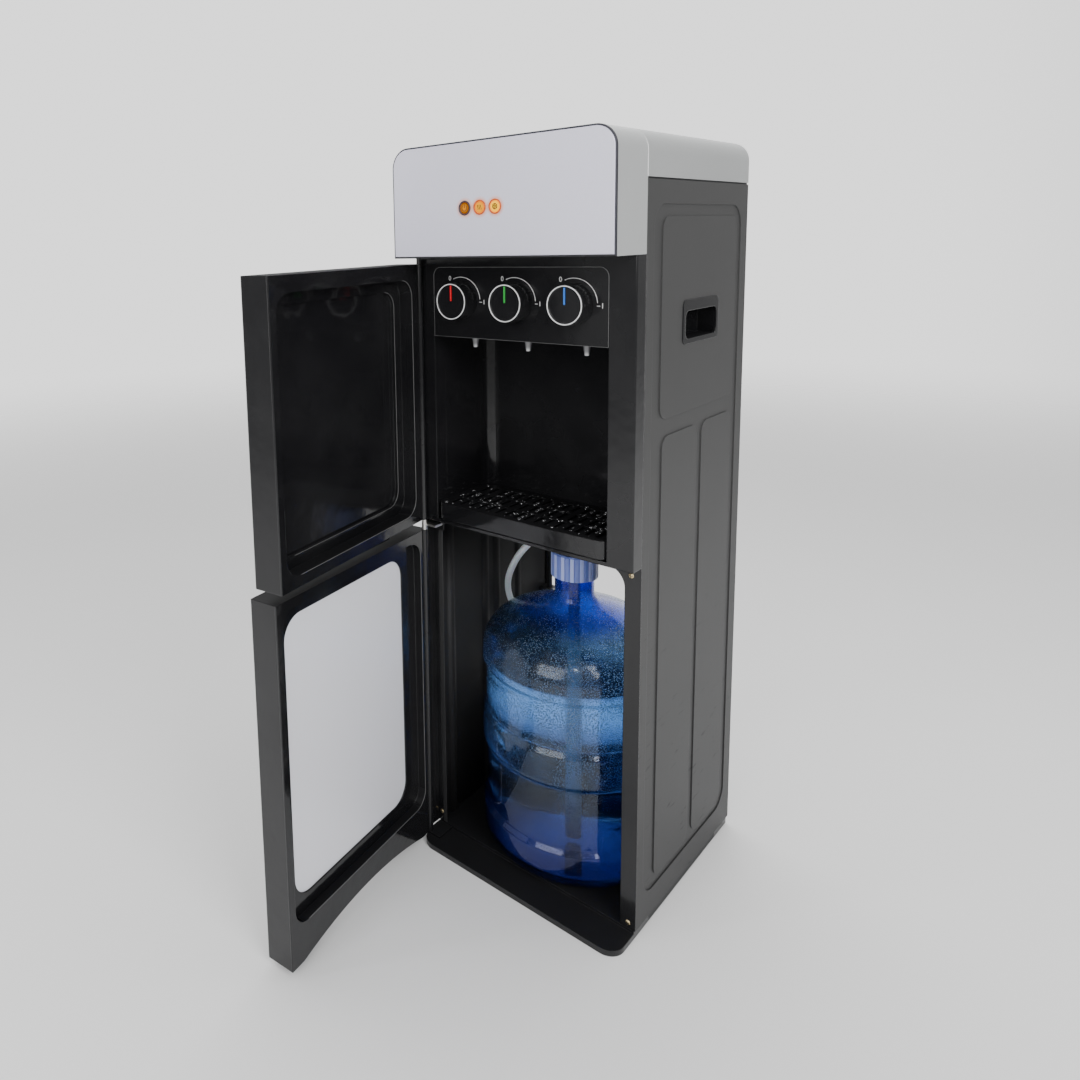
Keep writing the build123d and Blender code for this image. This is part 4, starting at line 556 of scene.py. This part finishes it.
lens_finishes = [
    amber_lens("lens_power", lamp_centres[0], tone(1.0, 0.36, 0.0), tone(0.12, 0.01, 0.0), 0.95),
    amber_lens("lens_hot", lamp_centres[1], tone(1.0, 0.50, 0.0), tone(1.0, 0.22, 0.0), 1.5),
    amber_lens("lens_cold", lamp_centres[2], tone(1.0, 0.66, 0.0), tone(1.0, 0.30, 0.0), 2.2),
]
print("lenses", len(lens_finishes))

# %% [markdown]
# A CAD node takes a finish through its own material slots. The record names one slot for each
# node, so a table from slot to finish dresses them all, and a few nodes get their own. The hinge
# plates and the base rails are coated black.

# %% Dress the CAD nodes
slot_finishes = {
    "black_gloss": black_gloss, "black_matte": black_matte, "fascia_silver": fascia_silver,
    "hood_silver": hood_silver, "side_steel": side_steel, "plain_steel": black_gloss,
    "light_metal": black_matte, "tank_steel": tank_steel,
    "foam": foam_cream, "sink_aluminium": sink_aluminium, "valve_white": valve_white,
    "nozzle_clear": nozzle_clear, "window_silver": window_silver, "bottle_blue": bottle_blue,
    "cap_blue": cap_blue, "hose_white": tube_milky, "switch_black": switch_black,
}
own_finishes = dict(zip(lamp_nodes, lens_finishes))
own_finishes["front_sheet"] = black_gloss
own_finishes["hinge_middle"] = half_coated
own_finishes["top_cover"] = cover_silver


def dress(thing, material):
    thing.data.materials.clear()
    thing.data.materials.append(material)


for part in frame["record"]["subparts"]:
    node = part["node"]
    dress(frame["nodes"][node], own_finishes.get(node) or slot_finishes[part["material_slot"]])
hose_curve.materials.append(hose_milky)

# %% [markdown]
# Small pieces are of two kinds. Turned ones, such as rings and screws, are a profile spun round an
# axis. Raised ones, such as printed marks, are flat outlines lifted off a surface. Two helpers
# make both, and each piece rides on the body that carries it.

# %% Turned and raised pieces
def piece(name, mesh, body, material):
    thing = bpy.data.objects.new(name, mesh)
    bpy.context.scene.collection.objects.link(thing)
    thing.data.materials.append(material)
    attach(thing, body)
    return thing


def to_mesh(name, form, smooth=True):
    bmesh.ops.remove_doubles(form, verts=form.verts, dist=1e-7)
    bmesh.ops.recalc_face_normals(form, faces=form.faces)
    for face in form.faces:
        face.smooth = smooth
    mesh = bpy.data.meshes.new(name)
    form.to_mesh(mesh)
    form.free()
    return mesh


def join_rows(form, low, high, closed=True):
    """Faces between two rows of points, all the way round where the rows are closed."""
    count = len(low)
    for index in range(count if closed else count - 1):
        following = (index + 1) % count
        form.faces.new((low[index], low[following], high[following], high[index]))


def spin(form, profile, foot, direction, steps=48, closed=True):
    """Adds a profile of (radius, height) pairs, spun about a line from foot along direction."""
    along = Vector(direction).normalized()
    side = along.orthogonal().normalized()
    other = along.cross(side)
    rings = []
    for step in range(steps):
        turn = 2 * math.pi * step / steps
        outward = side * math.cos(turn) + other * math.sin(turn)
        ring = [Vector(foot) + along * rise + outward * reach for reach, rise in profile]
        rings.append([form.verts.new(point) for point in ring])
    for here, there in zip(rings, rings[1:] + rings[:1]):
        join_rows(form, here, there, closed)


def bar(start, end, width, steps=6):
    """A flat bar with round ends, as an outline."""
    start, end = Vector(start), Vector(end)
    along = (end - start).normalized()
    heading = math.atan2(along.y, along.x)
    outline = []
    for centre, turn in ((end, heading - math.pi / 2), (start, heading + math.pi / 2)):
        for step in range(steps + 1):
            angle = turn + math.pi * step / steps
            outline.append(centre + Vector((math.cos(angle), math.sin(angle))) * width / 2)
    return outline


def arc_band(centre, radius, width, start, end, steps=40):
    """A band along an arc from start to end, in degrees anticlockwise."""
    angles = [math.radians(start + (end - start) * step / steps) for step in range(steps + 1)]
    outer = [Vector((math.cos(a), math.sin(a))) * (radius + width / 2) for a in angles]
    inner = [Vector((math.cos(a), math.sin(a))) * (radius - width / 2) for a in reversed(angles)]
    return [Vector(centre) + point for point in outer + inner]


def disc(centre, radius, steps=20):
    turns = [2 * math.pi * step / steps for step in range(steps)]
    return [Vector(centre) + Vector((math.cos(turn), math.sin(turn))) * radius for turn in turns]


def raise_outlines(form, outlines, corner, height, soft, across_to=(1, 0, 0), up_to=(0, 0, 1)):
    """Lifts flat outlines off the plane through corner, with a row of points just under their tops."""
    across_to, up_to = Vector(across_to), Vector(up_to)
    outward = across_to.cross(up_to)
    for outline in outlines:
        foot = [Vector(corner) + across_to * point.x + up_to * point.y for point in outline]
        levels = (0.0, height - soft, height)
        rows = [[form.verts.new(point + outward * level) for point in foot] for level in levels]
        for low, high in zip(rows, rows[1:]):
            join_rows(form, low, high)
        form.faces.new(rows[-1])
        form.faces.new(list(reversed(rows[0])))


print("piece helpers ready")

# %% [markdown]
# The three knobs share one design: a thin white ring round the dished face, and a coloured line
# from the ring's top to the middle that says which tap it is. Both turn with the knob.

# %% Knob rings and pointers
knobs = {"knob_hot": "knob_left", "knob_room": "knob_middle", "knob_cold": "knob_right"}
pointer_colours = {
    "knob_hot": tone(0.80, 0.010, 0.020), "knob_room": tone(0.030, 0.42, 0.060),
    "knob_cold": tone(0.035, 0.20, 0.75),
}
ring_radius = 0.0228
ring_width = 0.0013
ring_proud = 0.0006
pointer_top = 0.0212
pointer_foot = 0.0015
pointer_width = 0.0016
pointer_soft = 0.0003
dish_depth = 0.0012
sunk = 0.0004


def print_ink(name, colour):
    finish = Finish(name, IOR=1.5)
    wear = finish.clouds(600.0, 3.0)
    worn = darker(colour, 0.8)
    finish.relief(wear, 0.00003)
    return finish.made(finish.blend(wear.fade(0.45, 0.8), colour, worn), 0.32 + wear * 0.15)


white_ink = print_ink("white_print", tone(0.80, 0.80, 0.80))
knob_centres = {}
for node, body in knobs.items():
    low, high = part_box(node)
    centre = Vector(((low.x + high.x) / 2, low.y, (low.z + high.z) / 2))
    knob_centres[node] = centre
    form = bmesh.new()
    ring_profile = [
        (ring_radius - ring_width / 2, -sunk), (ring_radius - ring_width / 2, ring_proud * 0.6),
        (ring_radius - ring_width / 4, ring_proud), (ring_radius + ring_width / 4, ring_proud),
        (ring_radius + ring_width / 2, ring_proud * 0.6), (ring_radius + ring_width / 2, -sunk),
    ]
    spin(form, ring_profile, centre, (0, -1, 0), steps=96)
    piece(node + "_ring", to_mesh(node + "_ring", form), body, white_ink)
    form = bmesh.new()
    pointer = [bar((0, pointer_foot), (0, pointer_top - pointer_width / 2), pointer_width)]
    floor_of_dish = centre + Vector((0, dish_depth, 0))
    raise_outlines(form, pointer, floor_of_dish, dish_depth + pointer_soft, pointer_soft)
    ink = print_ink(node + "_pointer_ink", pointer_colours[node])
    piece(node + "_pointer", to_mesh(node + "_pointer", form, False), body, ink)
print("knobs", {node: [round(value, 4) for value in centre] for node, centre in knob_centres.items()})

# %% [markdown]
# Round each knob the panel has a printed scale: a thin arc that starts in a dot at the upper left
# and ends in a short tick at the right. Plain 0 and 1 stand at its ends, as on any dial.

# %% Dial scales
panel_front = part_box("control_panel")[0].y
scale_radius = 0.0310
scale_width = 0.0007
scale_start = 112.0
scale_end = 4.0
print_proud = 0.0002
digit_size = 0.0086
digit_gap = 0.0064
tick_drop = 0.0014
tick_in = 0.0005
tick_out = 0.0030


def digit(name, text, x, z):
    curve = bpy.data.curves.new(name, "FONT")
    curve.body = text
    curve.size = digit_size
    curve.extrude = print_proud / 2
    curve.align_x = "CENTER"
    curve.align_y = "CENTER"
    curve.materials.append(white_ink)
    thing = bpy.data.objects.new(name, curve)
    bpy.context.scene.collection.objects.link(thing)
    thing.location = (x, panel_front - print_proud / 2, z)
    thing.rotation_euler = (math.pi / 2, 0, 0)
    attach(thing, "cabinet")


for node, centre in knob_centres.items():
    start_turn = math.radians(scale_start)
    dot = (scale_radius * math.cos(start_turn), scale_radius * math.sin(start_turn))
    outlines = [
        arc_band((0, 0), scale_radius, scale_width, scale_start, scale_end),
        disc(dot, scale_width),
        bar((scale_radius - tick_in, -tick_drop), (scale_radius + tick_out, -tick_drop), scale_width),
    ]
    form = bmesh.new()
    foot = Vector((centre.x, panel_front, centre.z))
    raise_outlines(form, outlines, foot, print_proud, print_proud / 2)
    name = node.replace("knob", "scale")
    piece(name, to_mesh(name, form, False), "cabinet", white_ink)
    digit(name + "_low", "0", centre.x + dot[0] - digit_gap, centre.z + dot[1] + 0.0004)
    digit(name + "_high", "1", centre.x + scale_radius + digit_gap, centre.z - tick_drop)
print("scales", len(knob_centres), "on the panel at y", round(panel_front, 4))

# %% [markdown]
# The lamps have dark symbols printed on their lenses: the usual sign for power, three heat waves
# and a snow crystal. The first lamp's lens sits in a dark rim, the others in an orange one.

# %% Lamp symbols
def wave(x, width, height, swing, steps=14):
    """An upright wavy band."""
    points = []
    for step in range(steps + 1):
        part = step / steps
        points.append(Vector((x + swing * math.sin(part * 2 * math.pi), -height / 2 + height * part)))
    left = [point + Vector((-width / 2, 0)) for point in points]
    right_side = [point + Vector((width / 2, 0)) for point in points]
    return right_side + list(reversed(left))


def power_sign(size, line):
    return [arc_band((0, 0), size, line, 125, 415), bar((0, size * 0.15), (0, size * 1.15), line)]


def heat_sign(size, line):
    return [wave(x, line, size * 1.7, size * 0.16) for x in (-size * 0.62, 0, size * 0.62)]


def snow_sign(size, line):
    outlines = []
    for arm in range(6):
        turn = math.radians(30 + 60 * arm)
        way = Vector((math.cos(turn), math.sin(turn)))
        outlines.append(bar(way * line * 0.9, way * size, line))
        for lean in (-1, 1):
            twig_turn = turn + lean * math.radians(50)
            twig = Vector((math.cos(twig_turn), math.sin(twig_turn)))
            knee = way * size * 0.55 + twig * line * 0.8
            outlines.append(bar(knee, knee + twig * size * 0.28, line * 0.8))
    return outlines


symbol_size = 0.0036
symbol_line = 0.0011
symbol_proud = 0.00015
symbol_soft = 0.0001
rim_shape = [(0.86, 0.0), (0.88, 0.0004), (0.97, 0.0005), (1.06, 0.0002), (1.06, -0.0005), (0.86, -0.0003)]
symbol_ink = print_ink("lamp_symbol_ink", tone(0.16, 0.035, 0.004))
rim_dark = print_ink("lamp_dark_rim", tone(0.045, 0.035, 0.05))
rim_orange = print_ink("lamp_orange_rim", tone(0.62, 0.10, 0.0))
signs = [power_sign, heat_sign, snow_sign]
rims = [rim_dark, rim_orange, rim_orange]
for node, centre, sign, rim_ink in zip(lamp_nodes, lamp_centres, signs, rims):
    lens_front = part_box(node)[0].y
    front = Vector((centre.x, lens_front, centre.z))
    form = bmesh.new()
    raise_outlines(form, sign(symbol_size, symbol_line), front, symbol_proud, symbol_soft)
    name = node.replace("lamp", "symbol")
    piece(name, to_mesh(name, form, False), "cabinet", symbol_ink)
    form = bmesh.new()
    rim_profile = [(lamp_radius * share, height) for share, height in rim_shape]
    spin(form, rim_profile, front, (0, -1, 0), steps=64)
    piece(node + "_rim", to_mesh(node + "_rim", form), "cabinet", rim_ink)
print("symbols", len(signs))

# %% [markdown]
# Three screws show in the front sheet and six hold the rear panel. One joined mesh has the domed
# heads of a set, and another their crosses, which a loop places over the same centres. The crosses
# are black, as painted shade of the recesses.

# %% Screws
screw_radius = 0.0034
screw_height = 0.0012
slot_half = 0.0021
slot_width = 0.0006
cross_soft = 0.00002
head_sunk = 0.0002
sheet_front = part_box("front_sheet")[0].y
screw_places = [(0.1473, 0.4864), (0.1496, 0.0196), (-0.1545, 0.0270)]


def screw_heads(name, centres, direction, across_to, material):
    form = bmesh.new()
    dome = [(0.0, screw_height)]
    for step in range(1, 6):
        part = step / 5
        dome.append((screw_radius * part, screw_height * (1 - part ** 2.4)))
    dome.append((screw_radius, -head_sunk))
    dome.append((0.0, -head_sunk))
    for centre in centres:
        spin(form, dome, centre, direction, steps=24, closed=False)
    piece(name, to_mesh(name, form), "cabinet", material)
    form = bmesh.new()
    # Painted shade: the crosses are raised black bars standing in for the shade in the recesses.
    for centre in centres:
        lifted = Vector(centre) + Vector(direction) * screw_height * 0.9
        for end, rise in ((Vector((slot_half, 0)), 0.14), (Vector((0, slot_half)), 0.15)):
            arm = [bar(-end, end, slot_width)]
            raise_outlines(form, arm, lifted, screw_height * rise, cross_soft, across_to)
    recess = to_mesh(name + "_recess", form, False)
    piece(name + "_recess", recess, "cabinet", black_matte)


front_centres = [(x, sheet_front, z) for x, z in screw_places]
screw_heads("front_screws", front_centres, (0, -1, 0), (1, 0, 0), screw_zinc)

rear_low, rear_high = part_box("rear_panel")
rear_inset = 0.009
rear_heights = [rear_low.z + rear_inset, (rear_low.z + rear_high.z) / 2, rear_high.z - rear_inset]
rear_centres = [
    (x, rear_high.y, z) for x in (rear_low.x + rear_inset, rear_high.x - rear_inset) for z in rear_heights
]
screw_heads("rear_screws", rear_centres, (0, 1, 0), (-1, 0, 0), plain_steel)
print("screws", len(front_centres) + len(rear_centres))

# %% [markdown]
# The bay's side walls are stiffened by upright ribs pressed into a dark lining. Seen through the
# open door they break up the black wall with long thin highlights. A sheet with a wave where each
# rib stands is one outline, drawn in plan and lifted to the bay's height.

# %% Bay lining
lining_gap = 0.0004
lining_thick = 0.0010
rib_rise = 0.0040
rib_half = 0.008
rib_places = [-0.118, -0.030, 0.000, 0.060]
wall_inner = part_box("side_panel_left")[0].x
steel_thick = 0.0012
press_depth = 0.0016
lining_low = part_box("base_plate")[1].z + 0.002
lining_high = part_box("bay_ceiling")[0].z - 0.002
lining_front = sheet_front + 0.006
lining_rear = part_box("rear_rail")[1].y - 0.006


def lining(name, wall, inward):
    """One wall's lining: inward is +1 where the bay lies towards +X."""
    stations = []
    steps = 120
    for step in range(steps + 1):
        y = lining_front + (lining_rear - lining_front) * step / steps
        rise = 0.0
        for rib in rib_places:
            gap = abs(y - rib)
            if gap < rib_half:
                rise = rib_rise * math.cos(gap / rib_half * math.pi / 2) ** 0.7
        stations.append((wall + inward * rise, y))
    form = bmesh.new()
    rows = []
    for z in (lining_low, lining_high):
        rows.append([form.verts.new((x, y, z)) for x, y in stations])
        rows.append([form.verts.new((x - inward * lining_thick, y, z)) for x, y in stations])
    inner_low, outer_low, inner_high, outer_high = rows
    loop = [inner_low, inner_high, outer_high, outer_low]
    for low, high in zip(loop, loop[1:] + loop[:1]):
        join_rows(form, low, high, closed=False)
    for index in (0, steps):
        form.faces.new((inner_low[index], inner_high[index], outer_high[index], outer_low[index]))
    piece(name, to_mesh(name, form), "cabinet", black_matte)


lining_offset = steel_thick + press_depth + lining_gap + lining_thick
lining("bay_lining_left", wall_inner + lining_offset, 1)
lining("bay_lining_right", -wall_inner - lining_offset, -1)
print("lining", round(lining_low, 3), "to", round(lining_high, 3))

# %% [markdown]
# Between the lower door's hinge and the cabinet's front a thin jamb closes the gap. It is one
# folded strip: a flat against the side, and a rolled front edge that catches the light.

# %% Door jamb
jamb_front = -0.1695
jamb_thick = 0.0008
jamb_roll = 0.0016
jamb_hem = 0.003
jamb_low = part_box("base_plate")[1].z + 0.0005
jamb_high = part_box("hinge_middle")[1].z - 0.0005


def jamb(name, wall, inward):
    """One jamb: inward is +1 where the bay lies towards +X."""
    outline = [(wall, sheet_front), (wall, jamb_front)]
    for step in range(9):
        turn = math.pi * step / 8
        x = wall + inward * jamb_roll * (1 - math.cos(turn)) / 2
        outline.append((x, jamb_front - jamb_roll * math.sin(turn) / 2))
    outline.append((wall + inward * jamb_roll, jamb_front + jamb_hem))
    outline.append((wall + inward * jamb_thick, jamb_front + jamb_hem + jamb_thick))
    outline.append((wall + inward * jamb_thick, sheet_front))
    form = bmesh.new()
    rows = [[form.verts.new((x, y, z)) for x, y in outline] for z in (jamb_low, jamb_high)]
    join_rows(form, rows[0], rows[1])
    form.faces.new(rows[1])
    form.faces.new(list(reversed(rows[0])))
    piece(name, to_mesh(name, form, False), "cabinet", black_gloss)


jamb("bay_jamb_left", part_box("side_panel_left")[0].x, 1)
print("jamb", round(jamb_low, 3), "to", round(jamb_high, 3))

# %% [markdown]
# Where two shells meet, their rolled edges make a fine line, bright or dark. A thin wire that
# follows the joint stands for that roll: round the hood's joint with the cover, round the front
# plate and the control panel, and round the recesses of the open doors. The wires at the hood's
# joint, round the control panel and round the doors' recesses are light lines, painted highlights
# on the rolls; the one round the front plate is dark.

# %% Fine edge lines
def edge_line(name, points, thickness, body, material, closed=False):
    curve = bpy.data.curves.new(name, "CURVE")
    curve.dimensions = "3D"
    curve.bevel_depth = thickness / 2
    curve.bevel_resolution = 2
    path = curve.splines.new("POLY")
    path.points.add(len(points) - 1)
    for point, place in zip(path.points, points):
        point.co = (*place, 1.0)
    path.use_cyclic_u = closed
    wire = bpy.data.objects.new(name + "_wire", curve)
    tube = bpy.data.meshes.new_from_object(wire)
    bpy.data.objects.remove(wire)
    piece(name, tube, body, material)


def round_corner(centre, radius, start, end, steps=10):
    """Points on an arc in the plane of X and Z, from start to end in degrees."""
    turns = [math.radians(start + (end - start) * step / steps) for step in range(steps + 1)]
    return [(centre[0] + radius * math.cos(turn), centre[1] + radius * math.sin(turn)) for turn in turns]


def edge_finish(name, colour, rough):
    finish = Finish(name, IOR=1.5)
    haze = finish.clouds(120.0, 2.0)
    dull = darker(colour, 0.7)
    finish.relief(haze, 0.00002)
    return finish.made(finish.blend(haze, colour, dull), rough + haze * 0.1)


# Painted highlights: the hood seam's wire and the control panel's outline are light lines standing in for
# light on rolled edges.
seam_highlight = edge_finish("seam_painted_highlight", tone(0.90, 0.90, 0.90), 0.25)
panel_edge_highlight = edge_finish("panel_edge_painted_highlight", tone(0.20, 0.20, 0.20), 0.2)
hood_low, hood_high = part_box("front_hood")
shoulder = 0.0257
seam_wide = 0.0016
seam_foot = hood_low.z + 0.087
cover_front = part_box("top_cover")[0].y


def arch(half, top, corner, foot, y):
    """Up the right side, over both shoulders and down the left side, in the plane at y."""
    right_side = [(half, foot)] + round_corner((half - corner, top - corner), corner, 0, 90)
    return [(x, y, z) for x, z in right_side + [(-x, z) for x, z in reversed(right_side)]]


seam = arch(hood_high.x - 0.0002, hood_high.z - seam_wide / 2, shoulder, seam_foot, cover_front)
edge_line("hood_seam", seam, seam_wide, "cabinet", seam_highlight)

trim_wide = 0.0020
trim_low, trim_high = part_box("fascia_trim")
inset = trim_wide / 2
trim = arch(
    trim_high.x - inset, trim_high.z - inset, shoulder - inset, trim_low.z + inset, trim_low.y + 0.0002,
)
trim_edge = edge_finish("trim_rolled_edge", tone(0.035, 0.035, 0.05), 0.35)
edge_line("fascia_edge", trim, trim_wide, "cabinet", trim_edge)

panel_low_corner, panel_high_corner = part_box("control_panel")
panel_corner = 0.0116
panel_line = 0.0006
outline = [(panel_low_corner.x, panel_low_corner.z), (panel_high_corner.x, panel_low_corner.z)]
upper_right = (panel_high_corner.x - panel_corner, panel_high_corner.z - panel_corner)
upper_left = (panel_low_corner.x + panel_corner, panel_high_corner.z - panel_corner)
outline += round_corner(upper_right, panel_corner, 0, 90)
outline += round_corner(upper_left, panel_corner, 90, 180)
outline = [(x, panel_front - 0.0001, z) for x, z in outline]
edge_line("control_panel_edge", outline, panel_line, "cabinet", panel_edge_highlight, closed=True)

door_width = 0.318
door_hinge = Vector((-0.155, -0.177, 0.0))
upper_opened = 81.0
lower_opened = 83.0
rim_corner = 0.024
rim_wide = 0.0010
step_depth = 0.020
step_in = 0.015
upper_recess = (0.021, door_width - 0.015, 0.514, 0.8435)
lower_recess = (0.012, door_width - 0.014, 0.062, 0.472)


def door_line(degrees, out, recess, corner):
    """The hinge side and foot of a recess on an open door: its near and far x from the hinge, then
    the heights of its foot and head."""
    low_x, high_x, low_z, high_z = recess
    turn = math.radians(degrees)
    along = Vector((math.cos(turn), -math.sin(turn), 0))
    outward = Vector((-math.sin(turn), -math.cos(turn), 0))
    flat = round_corner((low_x + corner, high_z - corner), corner, 90, 180)
    flat += round_corner((low_x + corner, low_z + corner), corner, 180, 270)
    flat += [(high_x - corner, low_z)]
    return [tuple(door_hinge + along * x + outward * out + Vector((0, 0, z))) for x, z in flat]


near, far, foot, head = upper_recess
upper_step_recess = (near + step_in, far - step_in, foot + step_in, head - step_in)
upper_rim = door_line(upper_opened, 0.0, upper_recess, rim_corner)
upper_step = door_line(upper_opened, step_depth, upper_step_recess, rim_corner - 0.002)
lower_rim = door_line(lower_opened, 0.0, lower_recess, rim_corner)
# Painted highlights: the doors' recess lines are lighter than the black doors.
recess_edge_highlight = edge_finish("recess_painted_highlight", tone(0.13, 0.13, 0.13), 0.2)
for name, loop, body in (
    ("upper_rim_edge", upper_rim, "upper_door"), ("upper_step_edge", upper_step, "upper_door"),
    ("lower_rim_edge", lower_rim, "lower_door"),
):
    edge_line(name, loop, rim_wide, body, recess_edge_highlight)
print("edge lines", 6)

# %% [markdown]
# The bottle is full to the foot of its shoulder. The water is a solid of its own, whose side lies
# just inside the wall, so light bends in it as it does in a full bottle.

# %% Water in the bottle
bottle_wall = 0.0016
water_skin = 0.0002
water_level = bottle_low.z + 0.284
base_radius = 0.118
ring_radius_inner = 0.1316 - bottle_wall - water_skin
waist_radius_inner = 0.1265 - bottle_wall - water_skin
ring_heights = [0.032, 0.174, 0.295]
ring_half = 0.020
waist_run = 0.008


def water_outline():
    """Radius and height of the water's skin, from its floor to its level."""
    points = [(0.0, bottle_wall + water_skin), (base_radius - 0.006, bottle_wall + water_skin)]
    points.append((base_radius, bottle_wall + 0.003))
    points.append((ring_radius_inner, ring_heights[0] - ring_half * 0.4))
    for lower, upper in zip(ring_heights, ring_heights[1:]):
        points.append((ring_radius_inner, lower + ring_half))
        points.append((waist_radius_inner, lower + ring_half + waist_run))
        points.append((waist_radius_inner, upper - ring_half - waist_run))
        points.append((ring_radius_inner, upper - ring_half))
    points.append((ring_radius_inner - 0.001, water_level - bottle_low.z - 0.004))
    points.append((ring_radius_inner - 0.004, water_level - bottle_low.z))
    points.append((0.0, water_level - bottle_low.z))
    return points


form = bmesh.new()
spin(form, water_outline(), bottle_axis + Vector((0, 0, bottle_low.z)), (0, 0, 1), steps=96, closed=False)
piece("bottle_water", to_mesh("bottle_water", form), "bottle", water_clear)
print("water level", round(water_level, 3))

# %% [markdown]
# The grille has just been used, so drops stand on its bars. Each drop is a flattened dome. A
# seeded scatter keeps them the same in every run, and only places over solid bars are kept.

# %% Drops on the grille
random.seed(4)
grille_low, grille_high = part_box("drip_grille")
drop_count = 230
drop_sizes = (0.0009, 0.0030)
drop_edge = 0.006
dome_angles = (0.0, 0.4, 0.8, 1.2, math.pi / 2)
form = bmesh.new()
grille = frame["nodes"]["drip_grille"]
kept = 0
for _ in range(drop_count * 4):
    if kept == drop_count:
        break
    reach = drop_sizes[0] + (drop_sizes[1] - drop_sizes[0]) * random.random() ** 2.5
    x = random.uniform(grille_low.x + drop_edge, grille_high.x - drop_edge)
    y = random.uniform(grille_low.y + drop_edge, grille_high.y - drop_edge)
    above = Vector((x, y, grille_high.z + 0.01))
    hits = []
    for turn in range(5):
        offset = Vector((math.cos(turn * 1.26), math.sin(turn * 1.26), 0)) * (reach if turn else 0)
        hit, spot = grille.ray_cast(above + offset, Vector((0, 0, -1)))[:2]
        hits.append(hit and spot.z > grille_high.z - 0.0004)
    if not all(hits):
        continue
    kept += 1
    dome = [(reach * math.cos(rise), reach * 0.5 * math.sin(rise)) for rise in dome_angles]
    spin(form, [(0.0, 0.0), *dome], (x, y, grille_high.z), (0, 0, 1), steps=12, closed=False)


def bright_drop():
    """At this size only a drop's highlights are seen, so it is finished as a bright bead."""
    finish = Finish("bright_drop", Metallic=0.85)
    sparkle = finish.clouds(500.0, 1.0)
    glint = sparkle.fade(0.35, 0.65)
    colour = finish.blend(glint, tone(0.16, 0.16, 0.17), tone(0.62, 0.62, 0.64))
    return finish.made(colour, 0.08 + sparkle * 0.1)


piece("grille_drops", to_mesh("grille_drops", form), "tray", bright_drop())
print("drops", kept)

# %% [markdown]
# The room is plain. The floor is pale and slightly satin, and fades out before a horizon shows. A
# big soft light from the right and above shapes the cabinet, with weaker ones in front and on top,
# and two small ones make glints in the bottle. The world is bright at the left and rear and dimmer
# elsewhere, so that glossy black stays black.

# %% Floor, world and lights
floor_half = 6.0
floor_solid_to = 1.6
floor_gone_at = 5.5
form = bmesh.new()
corners = [(-1, -1), (1, -1), (1, 1), (-1, 1)]
form.faces.new([form.verts.new((x * floor_half, y * floor_half, 0.0)) for x, y in corners])
floor_mesh = bpy.data.meshes.new("floor")
form.to_mesh(floor_mesh)
form.free()
floor = bpy.data.objects.new("floor", floor_mesh)
bpy.context.scene.collection.objects.link(floor)
floor_finish = Finish("pale_floor", IOR=1.45, Specular_IOR_Level=0.2)
floor_cloud = floor_finish.clouds(1.5, 3.0)
floor_colour = floor_finish.blend(floor_cloud, tone(0.80, 0.80, 0.80), tone(0.84, 0.84, 0.84))
far_out = floor_finish.node("ShaderNodeVectorMath", {"operation": "LENGTH"}, {0: floor_finish.place()}, 1)
floor_finish.set("Alpha", 1 - far_out.fade(floor_solid_to, floor_gone_at))
floor_mesh.materials.append(floor_finish.made(floor_colour, 0.55 + floor_cloud * 0.1))

bright_side = (-0.90, 0.43, 0.0)
world = bpy.data.worlds.new("studio")
bpy.context.scene.world = world
world.use_nodes = True
world_tree = world.node_tree
background = world_tree.nodes["Background"]
direction = world_tree.nodes.new("ShaderNodeTexCoord")
alignment = world_tree.nodes.new("ShaderNodeVectorMath")
alignment.operation = "DOT_PRODUCT"
alignment.inputs[1].default_value = bright_side
brightness = world_tree.nodes.new("ShaderNodeMapRange")
brightness.interpolation_type = "SMOOTHSTEP"
world_range = {"From Min": 0.1, "From Max": 0.62, "To Min": 0.42, "To Max": 1.7}
for name, value in world_range.items():
    brightness.inputs[name].default_value = value
world_tree.links.new(direction.outputs["Generated"], alignment.inputs[0])
world_tree.links.new(alignment.outputs["Value"], brightness.inputs["Value"])
world_tree.links.new(brightness.outputs[0], background.inputs["Strength"])
background.inputs["Color"].default_value = tone(1.0, 1.0, 1.0)


aim = Vector((0, 0, 0.5))


def softbox(name, place, size, power):
    light = bpy.data.lights.new(name, "AREA")
    light.shape = "RECTANGLE"
    light.size, light.size_y = size
    light.energy = power
    lamp = bpy.data.objects.new(name, light)
    bpy.context.scene.collection.objects.link(lamp)
    lamp.location = place
    lamp.rotation_euler = (Vector(place) - aim).to_track_quat("Z", "Y").to_euler()


softbox("key_light", (2.4, -1.0, 2.2), (1.4, 1.8), 60.0)
softbox("front_light", (0.1, -2.8, 1.5), (1.6, 1.6), 34.0)
softbox("top_light", (0.2, 0.6, 2.8), (1.6, 1.2), 34.0)
softbox("left_glint", (-1.3, -2.3, 2.3), (0.22, 0.5), 8.0)
softbox("right_glint", (1.5, -2.3, 2.6), (0.22, 0.5), 8.0)
print("floor, world and five lights")

# %% [markdown]
# The box round the solids, taken before the cooler was dressed, is printed. The dressed
# cooler has to stay as big as its solids.

# %% Size of the solids
print("solids", [[round(value, 4) for value in corner] for corner in solid_box])
